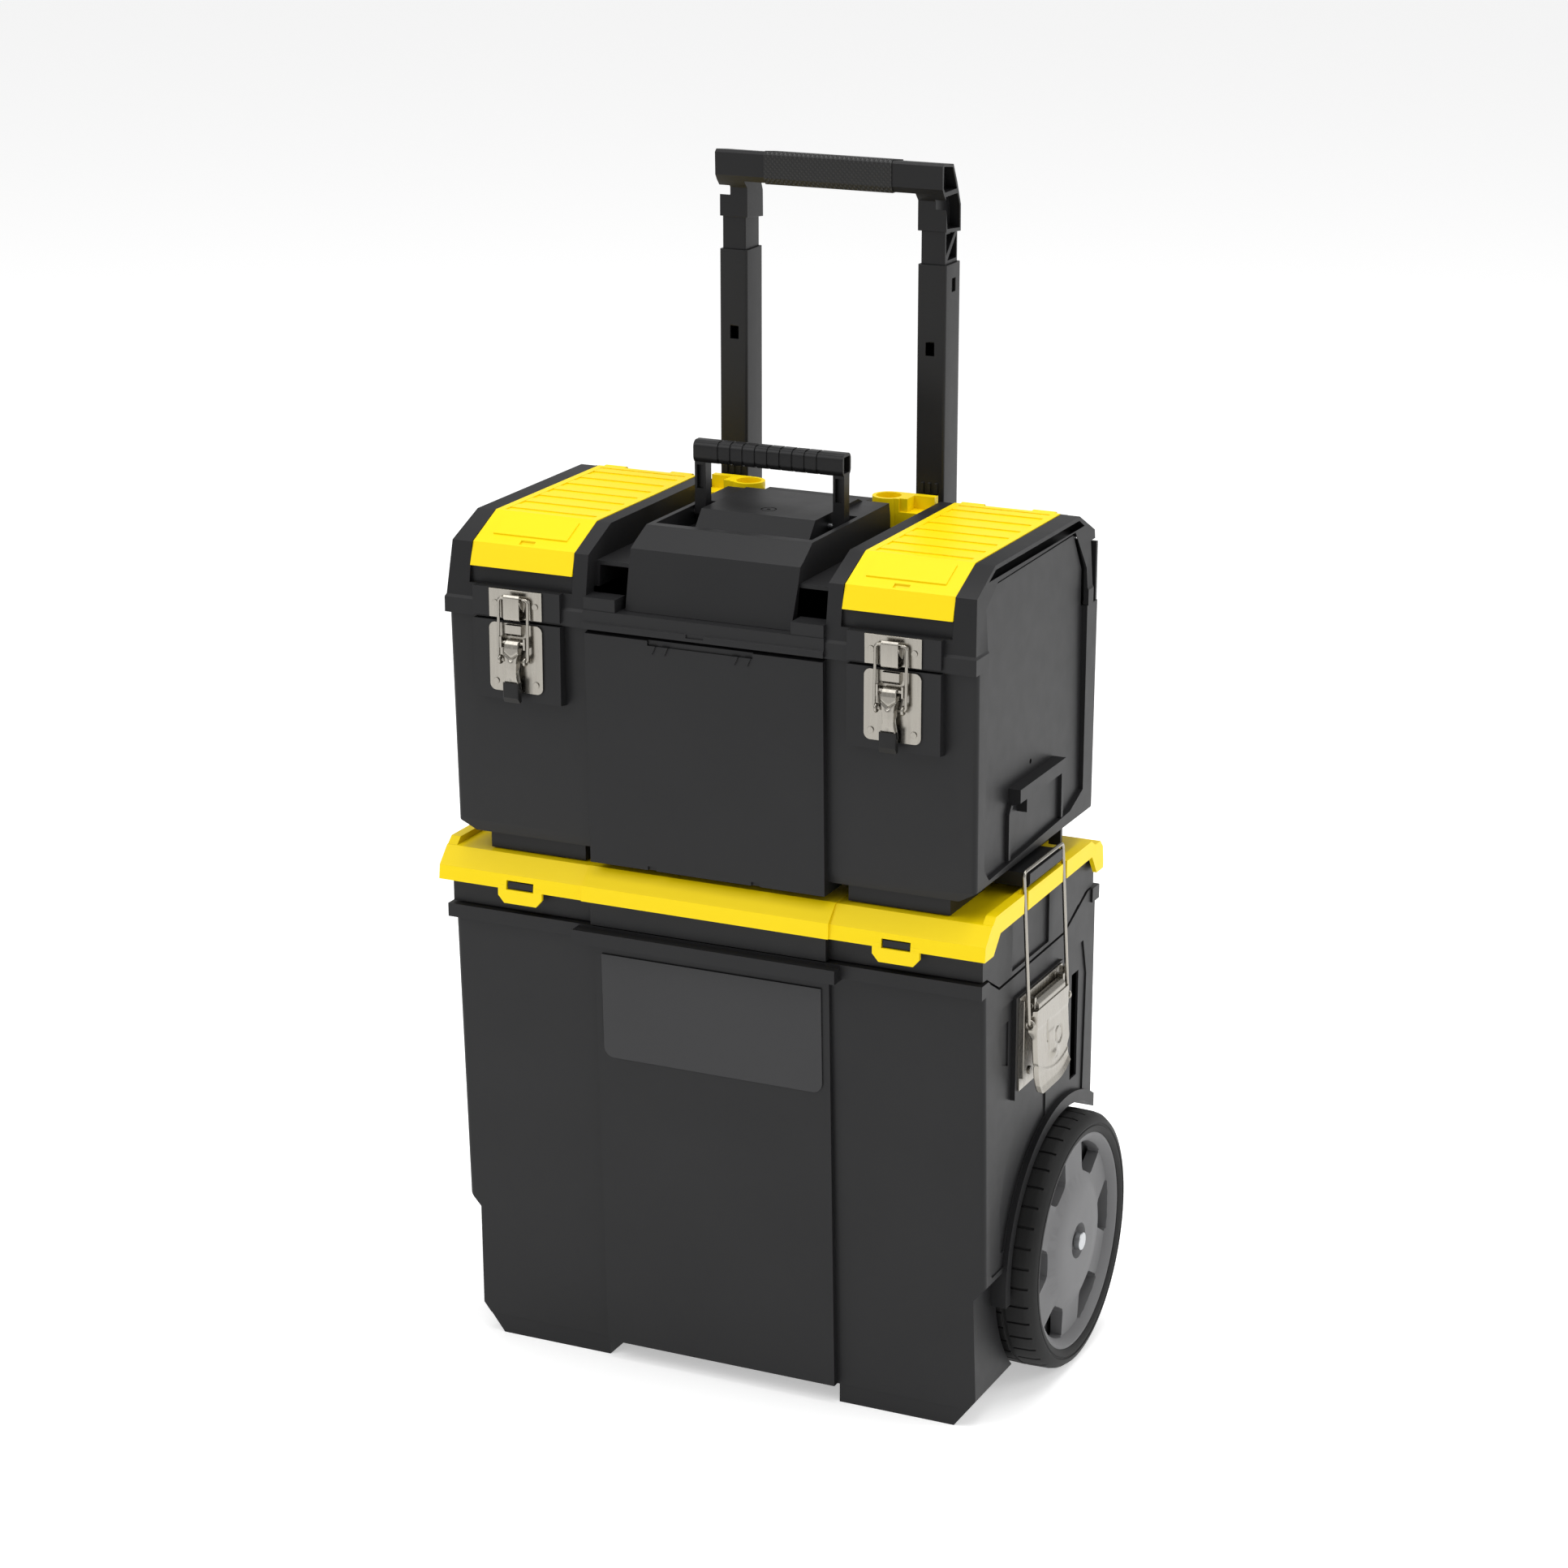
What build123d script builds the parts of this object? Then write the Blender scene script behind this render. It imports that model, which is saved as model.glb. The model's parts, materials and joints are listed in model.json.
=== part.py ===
from build123d import *
import os

# Rolling tool box: a wheeled bin, a storage tub and a lidded tool box that stack and latch
# together, with a pull handle behind them. Millimetres, +Z up, front towards -Y.
# The origin is on the floor, in the middle of the box's width and depth.

os.makedirs("parts", exist_ok=True)

# ---------------------------------------------------------------- driving dimensions
WALL = 3.0                      # moulded wall thickness
PANEL_HALF = 96.0               # half width of the proud centre panels

BIN_HALF = 216.5                # half width of the bin's sides
BIN_STEP_HALF = 207.0           # half width below the side step
BIN_FRONT_LOW = -101.0          # front face at the floor pan
BIN_FRONT_TOP = -117.3          # front face at the rim
BIN_BACK = 105.0
BIN_PAN = 15.0                  # underside of the floor pan, above the floor
BIN_RIM = 360.0                 # top of the front lip
BIN_RIM_BACK = 366.0
BIN_DIP = 345.5                 # bottom of the dip in each side rim

WHEEL_R = 100.0
WHEEL_Y = 43.0
WHEEL_OUT = 235.5               # outer face of each tyre
TYRE_WIDTH = 50.0
RIM_R = 84.0
AXLE_R = 5.0
WELL_R = WHEEL_R + 6.0          # wheel well
WELL_HALF = WHEEL_OUT - TYRE_WIDTH - 3.5

TUB_FOOT = 265.0                # underside of the tub, nested in the bin
LID2_LOW = 380.6                # bottom edge of the yellow lid
LID2_TOP = 404.0
LID2_HALF = 222.0

BOX_HALF = 211.0                # tool box half width
BOX_LOW = 419.0
BOX_RIM = 589.0                 # parting line at the front
BOX_BACK = 109.0
BOX_BACK_TOP = 634.0            # the rear wall is taller than the front
HINGE_Y = 109.0
HINGE_Z = 640.0

ROOF = 658.5                    # top of the lid's organiser towers
TOWER_IN = 95.5                 # inner face of each tower
TRAY_IN = 107.0                 # organiser opening, inner and outer edge
TRAY_OUT = 192.0
TRAY_BACK = 79.0

CHANNEL_HALF = 98.0             # rear channel that the pull handle runs in
CHANNEL_Y = 82.5                # its front wall on the lift-off pieces
BIN_CHANNEL_Y = 86.0            # its front wall on the bin

TUBE_IN, TUBE_OUT = 69.9, 92.8  # pull-handle tube, |x|
TUBE_FRONT, TUBE_BACK = 91.5, 119.4
TUBE_LOW, TUBE_TOP = 245.0, 833.0

LATCH_X = 150.2                 # centre of each front latch
LATCH_HALF = 21.9               # half width of its plates
PAD_HALF = 36.0                 # half width of the moulded pads behind them
SIDE_LATCH_Y = -13.5            # centre of each side latch
SIDE_PLATE_X = 219.0            # inner face of the side latch's base plate


# ---------------------------------------------------------------- helpers
def block(x, y, z, mode=Mode.ADD):
    """A box between the limits x, y and z, in the part that is being built."""
    size = (x[1] - x[0], y[1] - y[0], z[1] - z[0])
    centre = ((x[0] + x[1]) / 2, (y[0] + y[1]) / 2, (z[0] + z[1]) / 2)
    with Locations(centre):
        Box(*size, mode=mode)


def side_slab(points, x, mode=Mode.ADD):
    """Extrude an outline drawn in (y, z) between two places along X."""
    with BuildSketch(Plane.YZ.offset(x[0])) as outline:
        with BuildLine():
            Polyline(*points, close=True)
        make_face()
    extrude(outline.sketch, amount=x[1] - x[0], mode=mode)


def front_slab(points, y, mode=Mode.ADD):
    """Extrude an outline drawn in (x, z) between two places along Y."""
    with BuildSketch(Plane.XZ.offset(-y[1])) as outline:
        with BuildLine():
            Polyline(*points, close=True)
        make_face()
    extrude(outline.sketch, amount=y[1] - y[0], mode=mode)


def x_rod(radius, x, y, z, mode=Mode.ADD):
    """A round bar along X, centred on (y, z)."""
    with BuildSketch(Plane.YZ.offset(x[0])) as disc:
        with Locations((y, z)):
            Circle(radius)
    extrude(disc.sketch, amount=x[1] - x[0], mode=mode)


def y_rod(radius, y, x, z, mode=Mode.ADD):
    """A round bar along Y, centred on (x, z)."""
    with BuildSketch(Plane.XZ.offset(-y[1])) as disc:
        with Locations((x, z)):
            Circle(radius)
    extrude(disc.sketch, amount=y[1] - y[0], mode=mode)


def both_ways(points):
    """Close a right-hand outline, drawn in (x, z) from bottom to top, with its mirror image."""
    return points + [(-x, z) for x, z in reversed(points)]


def span(side, near, far):
    """The limits along X of something between two distances from the middle, on one side."""
    return tuple(sorted((side * near, side * far)))


def save(piece, label):
    """Name a finished piece and write its STEP file."""
    piece.label = label
    export_step(piece, f"parts/{label}.step")


def save_pair(piece, label):
    """Write a right-hand piece, and its mirror image as the left-hand one."""
    save(piece, f"{label}_right")
    save(mirror(piece, about=Plane.YZ), f"{label}_left")


# ---------------------------------------------------------------- bottom bin
AXLE_BRACKETS = (60.0, 150.0)   # distance of the axle brackets from the middle
GUIDE_SCREWS = [(57.5, 150.0), (57.5, 305.0)]       # (x, z) of each guide's screws

with BuildPart() as bin_space:  # the room inside the bin
    side_slab([(-98, 18), (-114.3, 380), (102, 380), (102, 121.3), (29, 115.2), (29, 87.5),
               (55, 18)], (-230, 230))
    front_slab(both_ways([(194, 18), (205.4, 27), (204, 108), (213.5, 119.5), (213.5, 380)]),
               (-200, 200), mode=Mode.INTERSECT)
    block((-CHANNEL_HALF - WALL, CHANNEL_HALF + WALL), (BIN_CHANNEL_Y - WALL, 200), (0, 400),
          mode=Mode.SUBTRACT)
    x_rod(WELL_R + WALL, (WELL_HALF - WALL, 240), WHEEL_Y, WHEEL_R, mode=Mode.SUBTRACT)
    x_rod(WELL_R + WALL, (-240, -WELL_HALF + WALL), WHEEL_Y, WHEEL_R, mode=Mode.SUBTRACT)

with BuildPart() as bin_body:
    side_slab([(BIN_FRONT_LOW, BIN_PAN), (BIN_FRONT_TOP, BIN_RIM_BACK), (BIN_BACK, BIN_RIM_BACK),
               (BIN_BACK, 118), (32, 112), (32, 88), (58, BIN_PAN)], (-230, 230))
    front_slab(both_ways([(202.5, BIN_PAN), (208.5, 23), (BIN_STEP_HALF, 106), (BIN_HALF, 117),
                          (BIN_HALF, BIN_RIM_BACK)]), (-200, 200), mode=Mode.INTERSECT)
    fillet(bin_body.edges().filter_by(lambda e: e.length > 200 and e.center().Y < -90
                                      and abs(e.center().X) > 200), 4)
    # recessed side panels, with a deeper crescent over each arch and two windows by the latch
    for side in (1, -1):
        crescent_x = span(side, BIN_HALF - 2.4, 230)
        side_slab([(-83.5, 329), (-103, 312.5), (-106, 300), (-97, 126), (-92, 121), (84, 121),
                   (90, 300), (82, 329)], span(side, BIN_HALF - 1.2, 230), mode=Mode.SUBTRACT)
        with BuildSketch(Plane.YZ.offset(crescent_x[0])) as crescent:
            with BuildLine():
                Polyline((-73.5, 133), (-77, 169), (-66, 200), (-40, 228), (-5, 243), (12, 234),
                         (12, 133), close=True)
            make_face()
            with Locations((WHEEL_Y, WHEEL_R)):
                Circle(WELL_R + 10, mode=Mode.SUBTRACT)
        extrude(crescent.sketch, amount=crescent_x[1] - crescent_x[0], mode=Mode.SUBTRACT)
        side_slab([(62, 222), (62, 307), (76, 307), (76, 222)], span(side, BIN_HALF - 8, 230),
                  mode=Mode.SUBTRACT)
        side_slab([(-86, 303), (-83, 314), (-66, 314), (-66, 279), (-77, 283)], crescent_x,
                  mode=Mode.SUBTRACT)
    # proud centre panel, front feet and rear skids
    side_slab([(-107, BIN_PAN), (-119.6, 342), (-116, 346), (-96, 40), (-96, BIN_PAN)],
              (-PANEL_HALF, PANEL_HALF))
    for side in (1, -1):
        front_slab([(side * 97.5, 0), (side * 191, 0), (side * 204, 17), (side * 97.5, 17)],
                   (-100.5, -29))
    # lips round the mouth
    block((-218, 218), (-124.7, -110), (349.5, BIN_RIM))
    block((-107, 107), (-134.8, -110), (347.7, 358.3))
    block((-218, 218), (96, 110), (355, BIN_RIM_BACK))
    # wheel arches: a raised band round each well
    for side in (1, -1):
        low, high = span(side, 205, 219.5)
        with BuildSketch(Plane.YZ.offset(low)) as arch:
            with Locations((WHEEL_Y, WHEEL_R)):
                Circle(WELL_R + 9)
            Rectangle(300, 60, align=(Align.CENTER, Align.MAX), mode=Mode.SUBTRACT)
            with Locations((BIN_BACK, 0)):
                Rectangle(200, 500, align=(Align.MIN, Align.CENTER), mode=Mode.SUBTRACT)
            with Locations((0, 88)):
                Rectangle(400, 200, align=(Align.CENTER, Align.MAX), mode=Mode.SUBTRACT)
        extrude(arch.sketch, amount=high - low)
        # pad behind the side latch's base plate
        side_slab([(-60, 250), (-60, 330), (33, 330), (33, 250)],
                  span(side, 214, SIDE_PLATE_X))
    add(bin_space.part, mode=Mode.SUBTRACT)
    # dip in both side rims for the tub, and the low front edge
    side_slab([(-113, BIN_RIM), (-88, BIN_DIP), (42, 347), (90, BIN_RIM_BACK), (90, 400),
               (-140, 400), (-140, BIN_RIM)], (-240, 240), mode=Mode.SUBTRACT)
    block((-BIN_HALF + WALL, BIN_HALF - WALL), (-113.4, 102), (340, 400), mode=Mode.SUBTRACT)
    # wheel wells and the pull handle's channel
    x_rod(WELL_R, (WELL_HALF, 240), WHEEL_Y, WHEEL_R, mode=Mode.SUBTRACT)
    x_rod(WELL_R, (-240, -WELL_HALF), WHEEL_Y, WHEEL_R, mode=Mode.SUBTRACT)
    block((-CHANNEL_HALF, CHANNEL_HALF), (BIN_CHANNEL_Y, 200), (0, 400), mode=Mode.SUBTRACT)
    block((-CHANNEL_HALF - WALL, CHANNEL_HALF + WALL), (BIN_CHANNEL_Y - WALL, 102),
          (BIN_RIM, 400), mode=Mode.SUBTRACT)
    block((-CHANNEL_HALF - WALL, CHANNEL_HALF + WALL), (BIN_CHANNEL_Y - WALL, BIN_CHANNEL_Y),
          (340, BIN_RIM))
    # axle brackets, joined to the stepped floor
    for x in AXLE_BRACKETS + tuple(-x for x in AXLE_BRACKETS):
        side_slab([(30, 114), (50, 114), (54, 100), (50, 86), (30, 86)], (x - 3, x + 3))
    x_rod(AXLE_R + 0.05, (-200, 200), WHEEL_Y, WHEEL_R, mode=Mode.SUBTRACT)
    for x, z in GUIDE_SCREWS + [(-x, z) for x, z in GUIDE_SCREWS]:
        y_rod(2.0, (80, 90), x, z, mode=Mode.SUBTRACT)
save(bin_body.part, "bin_body")

PANEL_LEAN = 2.2                # degrees that the centre panel leans forward
plate_plane = Plane(origin=(0, -118.0, 296), x_dir=(1, 0, 0),
                    z_dir=Vector(0, -1, 0).rotate(Axis.X, PANEL_LEAN))
with BuildPart() as label_plate:        # plain plate on the centre panel
    with BuildSketch(plate_plane) as plate_outline:
        Rectangle(180, 83)
        fillet(plate_outline.vertices().sort_by(Axis.Y)[:2], 8)
    extrude(plate_outline.sketch, amount=1.2)
save(label_plate.part, "label_plate")

with BuildPart() as wheel_axle:
    x_rod(AXLE_R, (-233.5, 233.5), WHEEL_Y, WHEEL_R)
save(wheel_axle.part, "wheel_axle")

with BuildPart() as axle_caps:          # push-on caps over the axle's ends
    for side in (1, -1):
        x_rod(7, span(side, 231.2, 236.5), WHEEL_Y, WHEEL_R)
        x_rod(AXLE_R, span(side, 230, 233.5), WHEEL_Y, WHEEL_R,
              mode=Mode.SUBTRACT)
save(axle_caps.part, "axle_caps")


# ---------------------------------------------------------------- wheels
HUB_FACE = WHEEL_OUT - 5.5      # outer face of the hub's disc

with BuildPart() as tyre:
    tyre_in = WHEEL_OUT - TYRE_WIDTH
    with BuildSketch(Plane.XY) as tyre_section:         # x along the axle, y the radius
        with BuildLine():
            Polyline((tyre_in + 2, RIM_R), (tyre_in, RIM_R + 5), (tyre_in + 1, WHEEL_R - 5),
                     (tyre_in + 8, WHEEL_R), (WHEEL_OUT - 8, WHEEL_R),
                     (WHEEL_OUT - 1, WHEEL_R - 5), (WHEEL_OUT, RIM_R + 5), (WHEEL_OUT - 2, RIM_R),
                     close=True)
        make_face()
    revolve(tyre_section.sketch, axis=Axis.X)
tyre_right = Pos(0, WHEEL_Y, WHEEL_R) * tyre.part
save_pair(tyre_right, "tyre")

with BuildPart() as hub:
    with BuildSketch(Plane.XY) as hub_section:
        with BuildLine():
            Polyline((tyre_in + 5, RIM_R), (tyre_in + 5, RIM_R - 5), (HUB_FACE - 12, RIM_R - 6),
                     (HUB_FACE - 12, 16), (tyre_in + 1, 15), (tyre_in + 1, AXLE_R + 0.06),
                     (HUB_FACE + 1, AXLE_R + 0.06), (HUB_FACE - 3, 9), (HUB_FACE - 3, 11),
                     (HUB_FACE + 3, 14), (HUB_FACE + 3.5, 30), (HUB_FACE + 2, 44), (HUB_FACE - 2, 54),
                     (HUB_FACE - 3, 76), (HUB_FACE + 1, RIM_R - 5), (HUB_FACE + 3, RIM_R - 2),
                     (HUB_FACE + 3, RIM_R),
                     close=True)
        make_face()
    revolve(hub_section.sketch, axis=Axis.X)
    with BuildSketch(Plane.YZ.offset(HUB_FACE - 20)) as windows:
        with PolarLocations(0, 6):
            Polygon((53, 9), (55, 12), (72, 22), (74, 20), (76, 10), (76.5, 0), (76, -10), (74, -20),
                    (72, -22), (55, -12), (53, -9), align=None)
    extrude(windows.sketch, amount=40, mode=Mode.SUBTRACT)
    with BuildSketch(Plane.YZ.offset(HUB_FACE - 19)) as window_backs:
        Circle(RIM_R - 4)
        Circle(40, mode=Mode.SUBTRACT)
    extrude(window_backs.sketch, amount=3)
hub_right = Pos(0, WHEEL_Y, WHEEL_R) * hub.part
save_pair(hub_right, "wheel_hub")


# ---------------------------------------------------------------- handle guides and screws
with BuildPart() as handle_guide:
    block((65.5, 97.2), (BIN_CHANNEL_Y, 123.5), (120, 335))
    block((50, 66), (BIN_CHANNEL_Y, BIN_CHANNEL_Y + 3), (135, 320))
    block((TUBE_IN - 0.6, TUBE_OUT + 0.6), (TUBE_FRONT - 0.6, TUBE_BACK + 0.6), (100, 350),
          mode=Mode.SUBTRACT)
    for z in (170, 215, 260):
        block((72, 91), (118, 130), (z, z + 30), mode=Mode.SUBTRACT)
    for x, z in GUIDE_SCREWS:
        y_rod(2.0, (80, 95), x, z, mode=Mode.SUBTRACT)
save_pair(handle_guide.part, "handle_guide")

with BuildPart() as guide_screws:
    for x, z in GUIDE_SCREWS + [(-x, z) for x, z in GUIDE_SCREWS]:
        y_rod(1.95, (80, BIN_CHANNEL_Y + 3), x, z)
        y_rod(4, (BIN_CHANNEL_Y + 3, BIN_CHANNEL_Y + 5.4), x, z)
        block((x - 2.6, x + 2.6), (BIN_CHANNEL_Y + 4.2, 95), (z - 0.5, z + 0.5),
              mode=Mode.SUBTRACT)
save(guide_screws.part, "guide_screws")


# ---------------------------------------------------------------- side latches
LEVER_PIN_X, LEVER_PIN_Z = 224.0, 320.0         # lever pivot, along Y
BAIL_EYE_X, BAIL_EYE_Z = 226.0, 307.0           # where the wire bail hangs on the lever
BAIL_TOP_X, BAIL_TOP_Z = 219.6, 424.0
BAIL_HALF = 38.5
WIRE_R = 1.5

with BuildPart() as side_latch_plate:
    y0, y1 = SIDE_LATCH_Y - 42, SIDE_LATCH_Y + 42
    block((SIDE_PLATE_X, SIDE_PLATE_X + 1.5), (y0, y1), (256, 329))
    for y in (y0, y1 - 1.5):
        block((SIDE_PLATE_X, SIDE_PLATE_X + 4.5), (y, y + 1.5), (266, 327))
    for y in (SIDE_LATCH_Y - 30, SIDE_LATCH_Y + 27):
        block((SIDE_PLATE_X, LEVER_PIN_X + 3), (y, y + 3), (314, 326))
        with BuildSketch(Plane.XZ.offset(-y - 3)) as eye:
            with Locations((LEVER_PIN_X, LEVER_PIN_Z)):
                Circle(1.95)
        extrude(eye.sketch, amount=3, mode=Mode.SUBTRACT)
save_pair(side_latch_plate.part, "side_latch_plate")

with BuildPart() as side_latch_pins:
    for side in (1, -1):
        y_rod(1.9, (SIDE_LATCH_Y - 31.5, SIDE_LATCH_Y + 31.5), side * LEVER_PIN_X, LEVER_PIN_Z)
save(side_latch_pins.part, "side_latch_pins")

with BuildPart() as side_latch_rivets:
    for side in (1, -1):
        for y in (SIDE_LATCH_Y - 22, SIDE_LATCH_Y + 22):
            x_rod(3.2, span(side, SIDE_PLATE_X + 1.5, SIDE_PLATE_X + 2.7),
                  y, 266)
save(side_latch_rivets.part, "side_latch_rivets")

with BuildPart() as side_lever:
    # stamped plate: rolled over the pivot pin, then flared out at its free end
    front_slab([(227.8, 316), (229.4, 317), (230.5, 285), (232, 264), (235, 252),
                (233.6, 251.4), (230.4, 263), (229, 285)],
               (SIDE_LATCH_Y - 34, SIDE_LATCH_Y + 34))
    front_slab([(LEVER_PIN_X, 323.3), (226.6, 322.6), (229.4, 319), (229.4, 310), (228, 310),
                (227.2, 318), (LEVER_PIN_X, 321)], (SIDE_LATCH_Y - 26.6, SIDE_LATCH_Y + 26.6))
    y_rod(3.3, (SIDE_LATCH_Y - 26.6, SIDE_LATCH_Y + 26.6), LEVER_PIN_X, LEVER_PIN_Z)
    y_rod(1.96, (SIDE_LATCH_Y - 40, SIDE_LATCH_Y + 40), LEVER_PIN_X, LEVER_PIN_Z,
          mode=Mode.SUBTRACT)
    for y in (SIDE_LATCH_Y - 34, SIDE_LATCH_Y + 32.5):      # side cheeks carry the bail
        front_slab([(229.5, 312), (229.5, 285), (224, 300), (223.4, 310)], (y, y + 1.5))
    y_rod(WIRE_R + 0.06, (SIDE_LATCH_Y - 40, SIDE_LATCH_Y + 40), BAIL_EYE_X, BAIL_EYE_Z,
          mode=Mode.SUBTRACT)
save_pair(side_lever.part, "side_lever")

with BuildPart() as side_bail:
    for y in (SIDE_LATCH_Y - BAIL_HALF, SIDE_LATCH_Y + BAIL_HALF):
        inner = y + (6.5 if y < SIDE_LATCH_Y else -6.5)
        with BuildLine() as wire:
            FilletPolyline((BAIL_EYE_X, inner, BAIL_EYE_Z), (BAIL_EYE_X, y, BAIL_EYE_Z),
                           (BAIL_TOP_X, y, BAIL_TOP_Z), (BAIL_TOP_X, SIDE_LATCH_Y, BAIL_TOP_Z),
                           radius=3.5)
        with BuildSketch(Plane(origin=(BAIL_EYE_X, inner, BAIL_EYE_Z), z_dir=(0, 1, 0))) as bead:
            Circle(WIRE_R)
        sweep(bead.sketch, path=wire.line)
save_pair(side_bail.part, "side_bail")


# ---------------------------------------------------------------- storage tub
with BuildPart() as tub_space:
    side_slab([(-101.4, 268), (-108.4, 420), (96.4, 420), (96.4, 268)], (-230, 230))
    front_slab(both_ways([(202, 268), (207.6, 360), (207.6, 420)]), (-200, 200),
               mode=Mode.INTERSECT)
    block((-CHANNEL_HALF - 9, CHANNEL_HALF + 9), (CHANNEL_Y - 5.5, 200), (200, 450),
          mode=Mode.SUBTRACT)

with BuildPart() as mid_tub:
    # the part that nests in the bin
    side_slab([(-104, TUB_FOOT), (-111.3, 362), (99, 362), (99, TUB_FOOT)], (-230, 230))
    front_slab(both_ways([(205, TUB_FOOT), (210.6, 362)]), (-200, 200), mode=Mode.INTERSECT)
    # the band above the bin's rim, and the side panels that fill the dips
    block((-216, 216), (-119, 101.8), (361, 395.5))
    block((-PANEL_HALF, PANEL_HALF), (-125.5, -100), (361, 388))
    side_slab([(-112, 361.5), (-87, 347.2), (41, 348.6), (84, 367.2), (84, 375), (-112, 375)],
              (-216, 216))
    for side in (1, -1):                # clear of the bin's rim where it rises at the back
        rim_x = span(side, 211, 230)
        side_slab([(41.5, 348.2), (86, 367.2), (200, 367.2), (200, 300), (41.5, 300)], rim_x,
                  mode=Mode.SUBTRACT)
    block((-230, 230), (99.2, 200), (200, 367.2), mode=Mode.SUBTRACT)
    add(tub_space.part, mode=Mode.SUBTRACT)
    block((-CHANNEL_HALF - 6, CHANNEL_HALF + 6), (CHANNEL_Y - 2.5, 200), (200, 368),
          mode=Mode.SUBTRACT)
    block((-CHANNEL_HALF, CHANNEL_HALF), (CHANNEL_Y, 200), (360, 450), mode=Mode.SUBTRACT)
    # recessed panels behind the side bails
    for side in (1, -1):
        side_slab([(-62, 351), (-62, 393), (10, 393), (10, 351)],
                  span(side, 214, 230), mode=Mode.SUBTRACT)
    # catches that the lid's snap tabs hook on
    for side in (1, -1):
        x0, x1 = span(side, 142.5, 163.5)
        block((x0, x1), (-129, -118), (381, 386))
save(mid_tub.part, "mid_tub")

with BuildPart() as mid_lid:
    side_slab([(-130.3, LID2_LOW), (-129, 391.5), (-117, LID2_TOP), (99, LID2_TOP), (105, 398),
               (106.5, 386), (106.5, LID2_LOW)], (-LID2_HALF, LID2_HALF))
    side_slab([(-131.8, LID2_LOW), (-131.2, 392.5), (-118, LID2_TOP + 0.6), (-90, LID2_TOP + 0.6),
               (-90, 395), (-120, LID2_LOW)], (-100.5, 100.5))
    for side in (1, -1):                    # raised side rims
        x0, x1 = span(side, 214, LID2_HALF)
        side_slab([(-118, 402), (-110, 409), (80, 409), (92, 402)], (x0, x1))
    side_slab([(-126.9, 370), (-125.9, 389.8), (-115.2, 400.6), (97.5, 400.6), (102, 396),
               (103.3, 386), (103.3, 370)], (-218.6, 218.6), mode=Mode.SUBTRACT)
    for side in (1, -1):
        # the side walls rise between the corners, and have slots for the bail's legs
        x0, x1 = span(side, 216, 230)
        side_slab([(-124, 370), (-101, 394), (82, 396), (100, 370)], (x0, x1), mode=Mode.SUBTRACT)
        for y in (SIDE_LATCH_Y - BAIL_HALF, SIDE_LATCH_Y + BAIL_HALF):
            block((x0, x1), (y - 4, y + 4), (370, 420), mode=Mode.SUBTRACT)
        # snap tabs with a window each
        chamfer_x = 5 * side
        front_slab([(side * 134.5, LID2_LOW + 3), (side * 171.5, LID2_LOW + 3),
                    (side * 171.5, 375), (side * 171.5 - chamfer_x, 369.2),
                    (side * 134.5 + chamfer_x, 369.2), (side * 134.5, 375)], (-130.1, -127.3))
        low, high = span(side, 141.6, 164.4)
        block((low, high), (-140, -126), (379.9, 387.1), mode=Mode.SUBTRACT)
    block((-CHANNEL_HALF, CHANNEL_HALF), (CHANNEL_Y, 200), (300, 450), mode=Mode.SUBTRACT)
save(mid_lid.part, "mid_lid")


# ---------------------------------------------------------------- tool box body
GABLE = [(-104, 560), (-104, 630.5), (-81, 644.3), (68, 646.5), (86, 617), (86, 560)]
PANEL = [(-105, 440), (-105, 631.5), (-81.6, 645.5), (68.6, 648), (88, 618), (90, 446),
         (64, 436), (-95, 430)]
SIDE_RECESS = 4.5               # depth of the recessed side panel
CLIP_X, CLIP_Y = 58.0, 69.5     # centre of each handle clip's cup
CLIP_FOOT = 640.0

with BuildPart() as box_space:
    side_slab([(-114, 422), (-116.6, 430), (-121, 620), (106, 620), (106, 430), (98, 422)],
              (-230, 230))
    front_slab(both_ways([(193, 422), (203.5, 429), (203.5, 620)]), (-200, 200),
               mode=Mode.INTERSECT)
    block((-CHANNEL_HALF - WALL, CHANNEL_HALF + WALL), (CHANNEL_Y - WALL, 200), (400, 650),
          mode=Mode.SUBTRACT)

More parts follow.
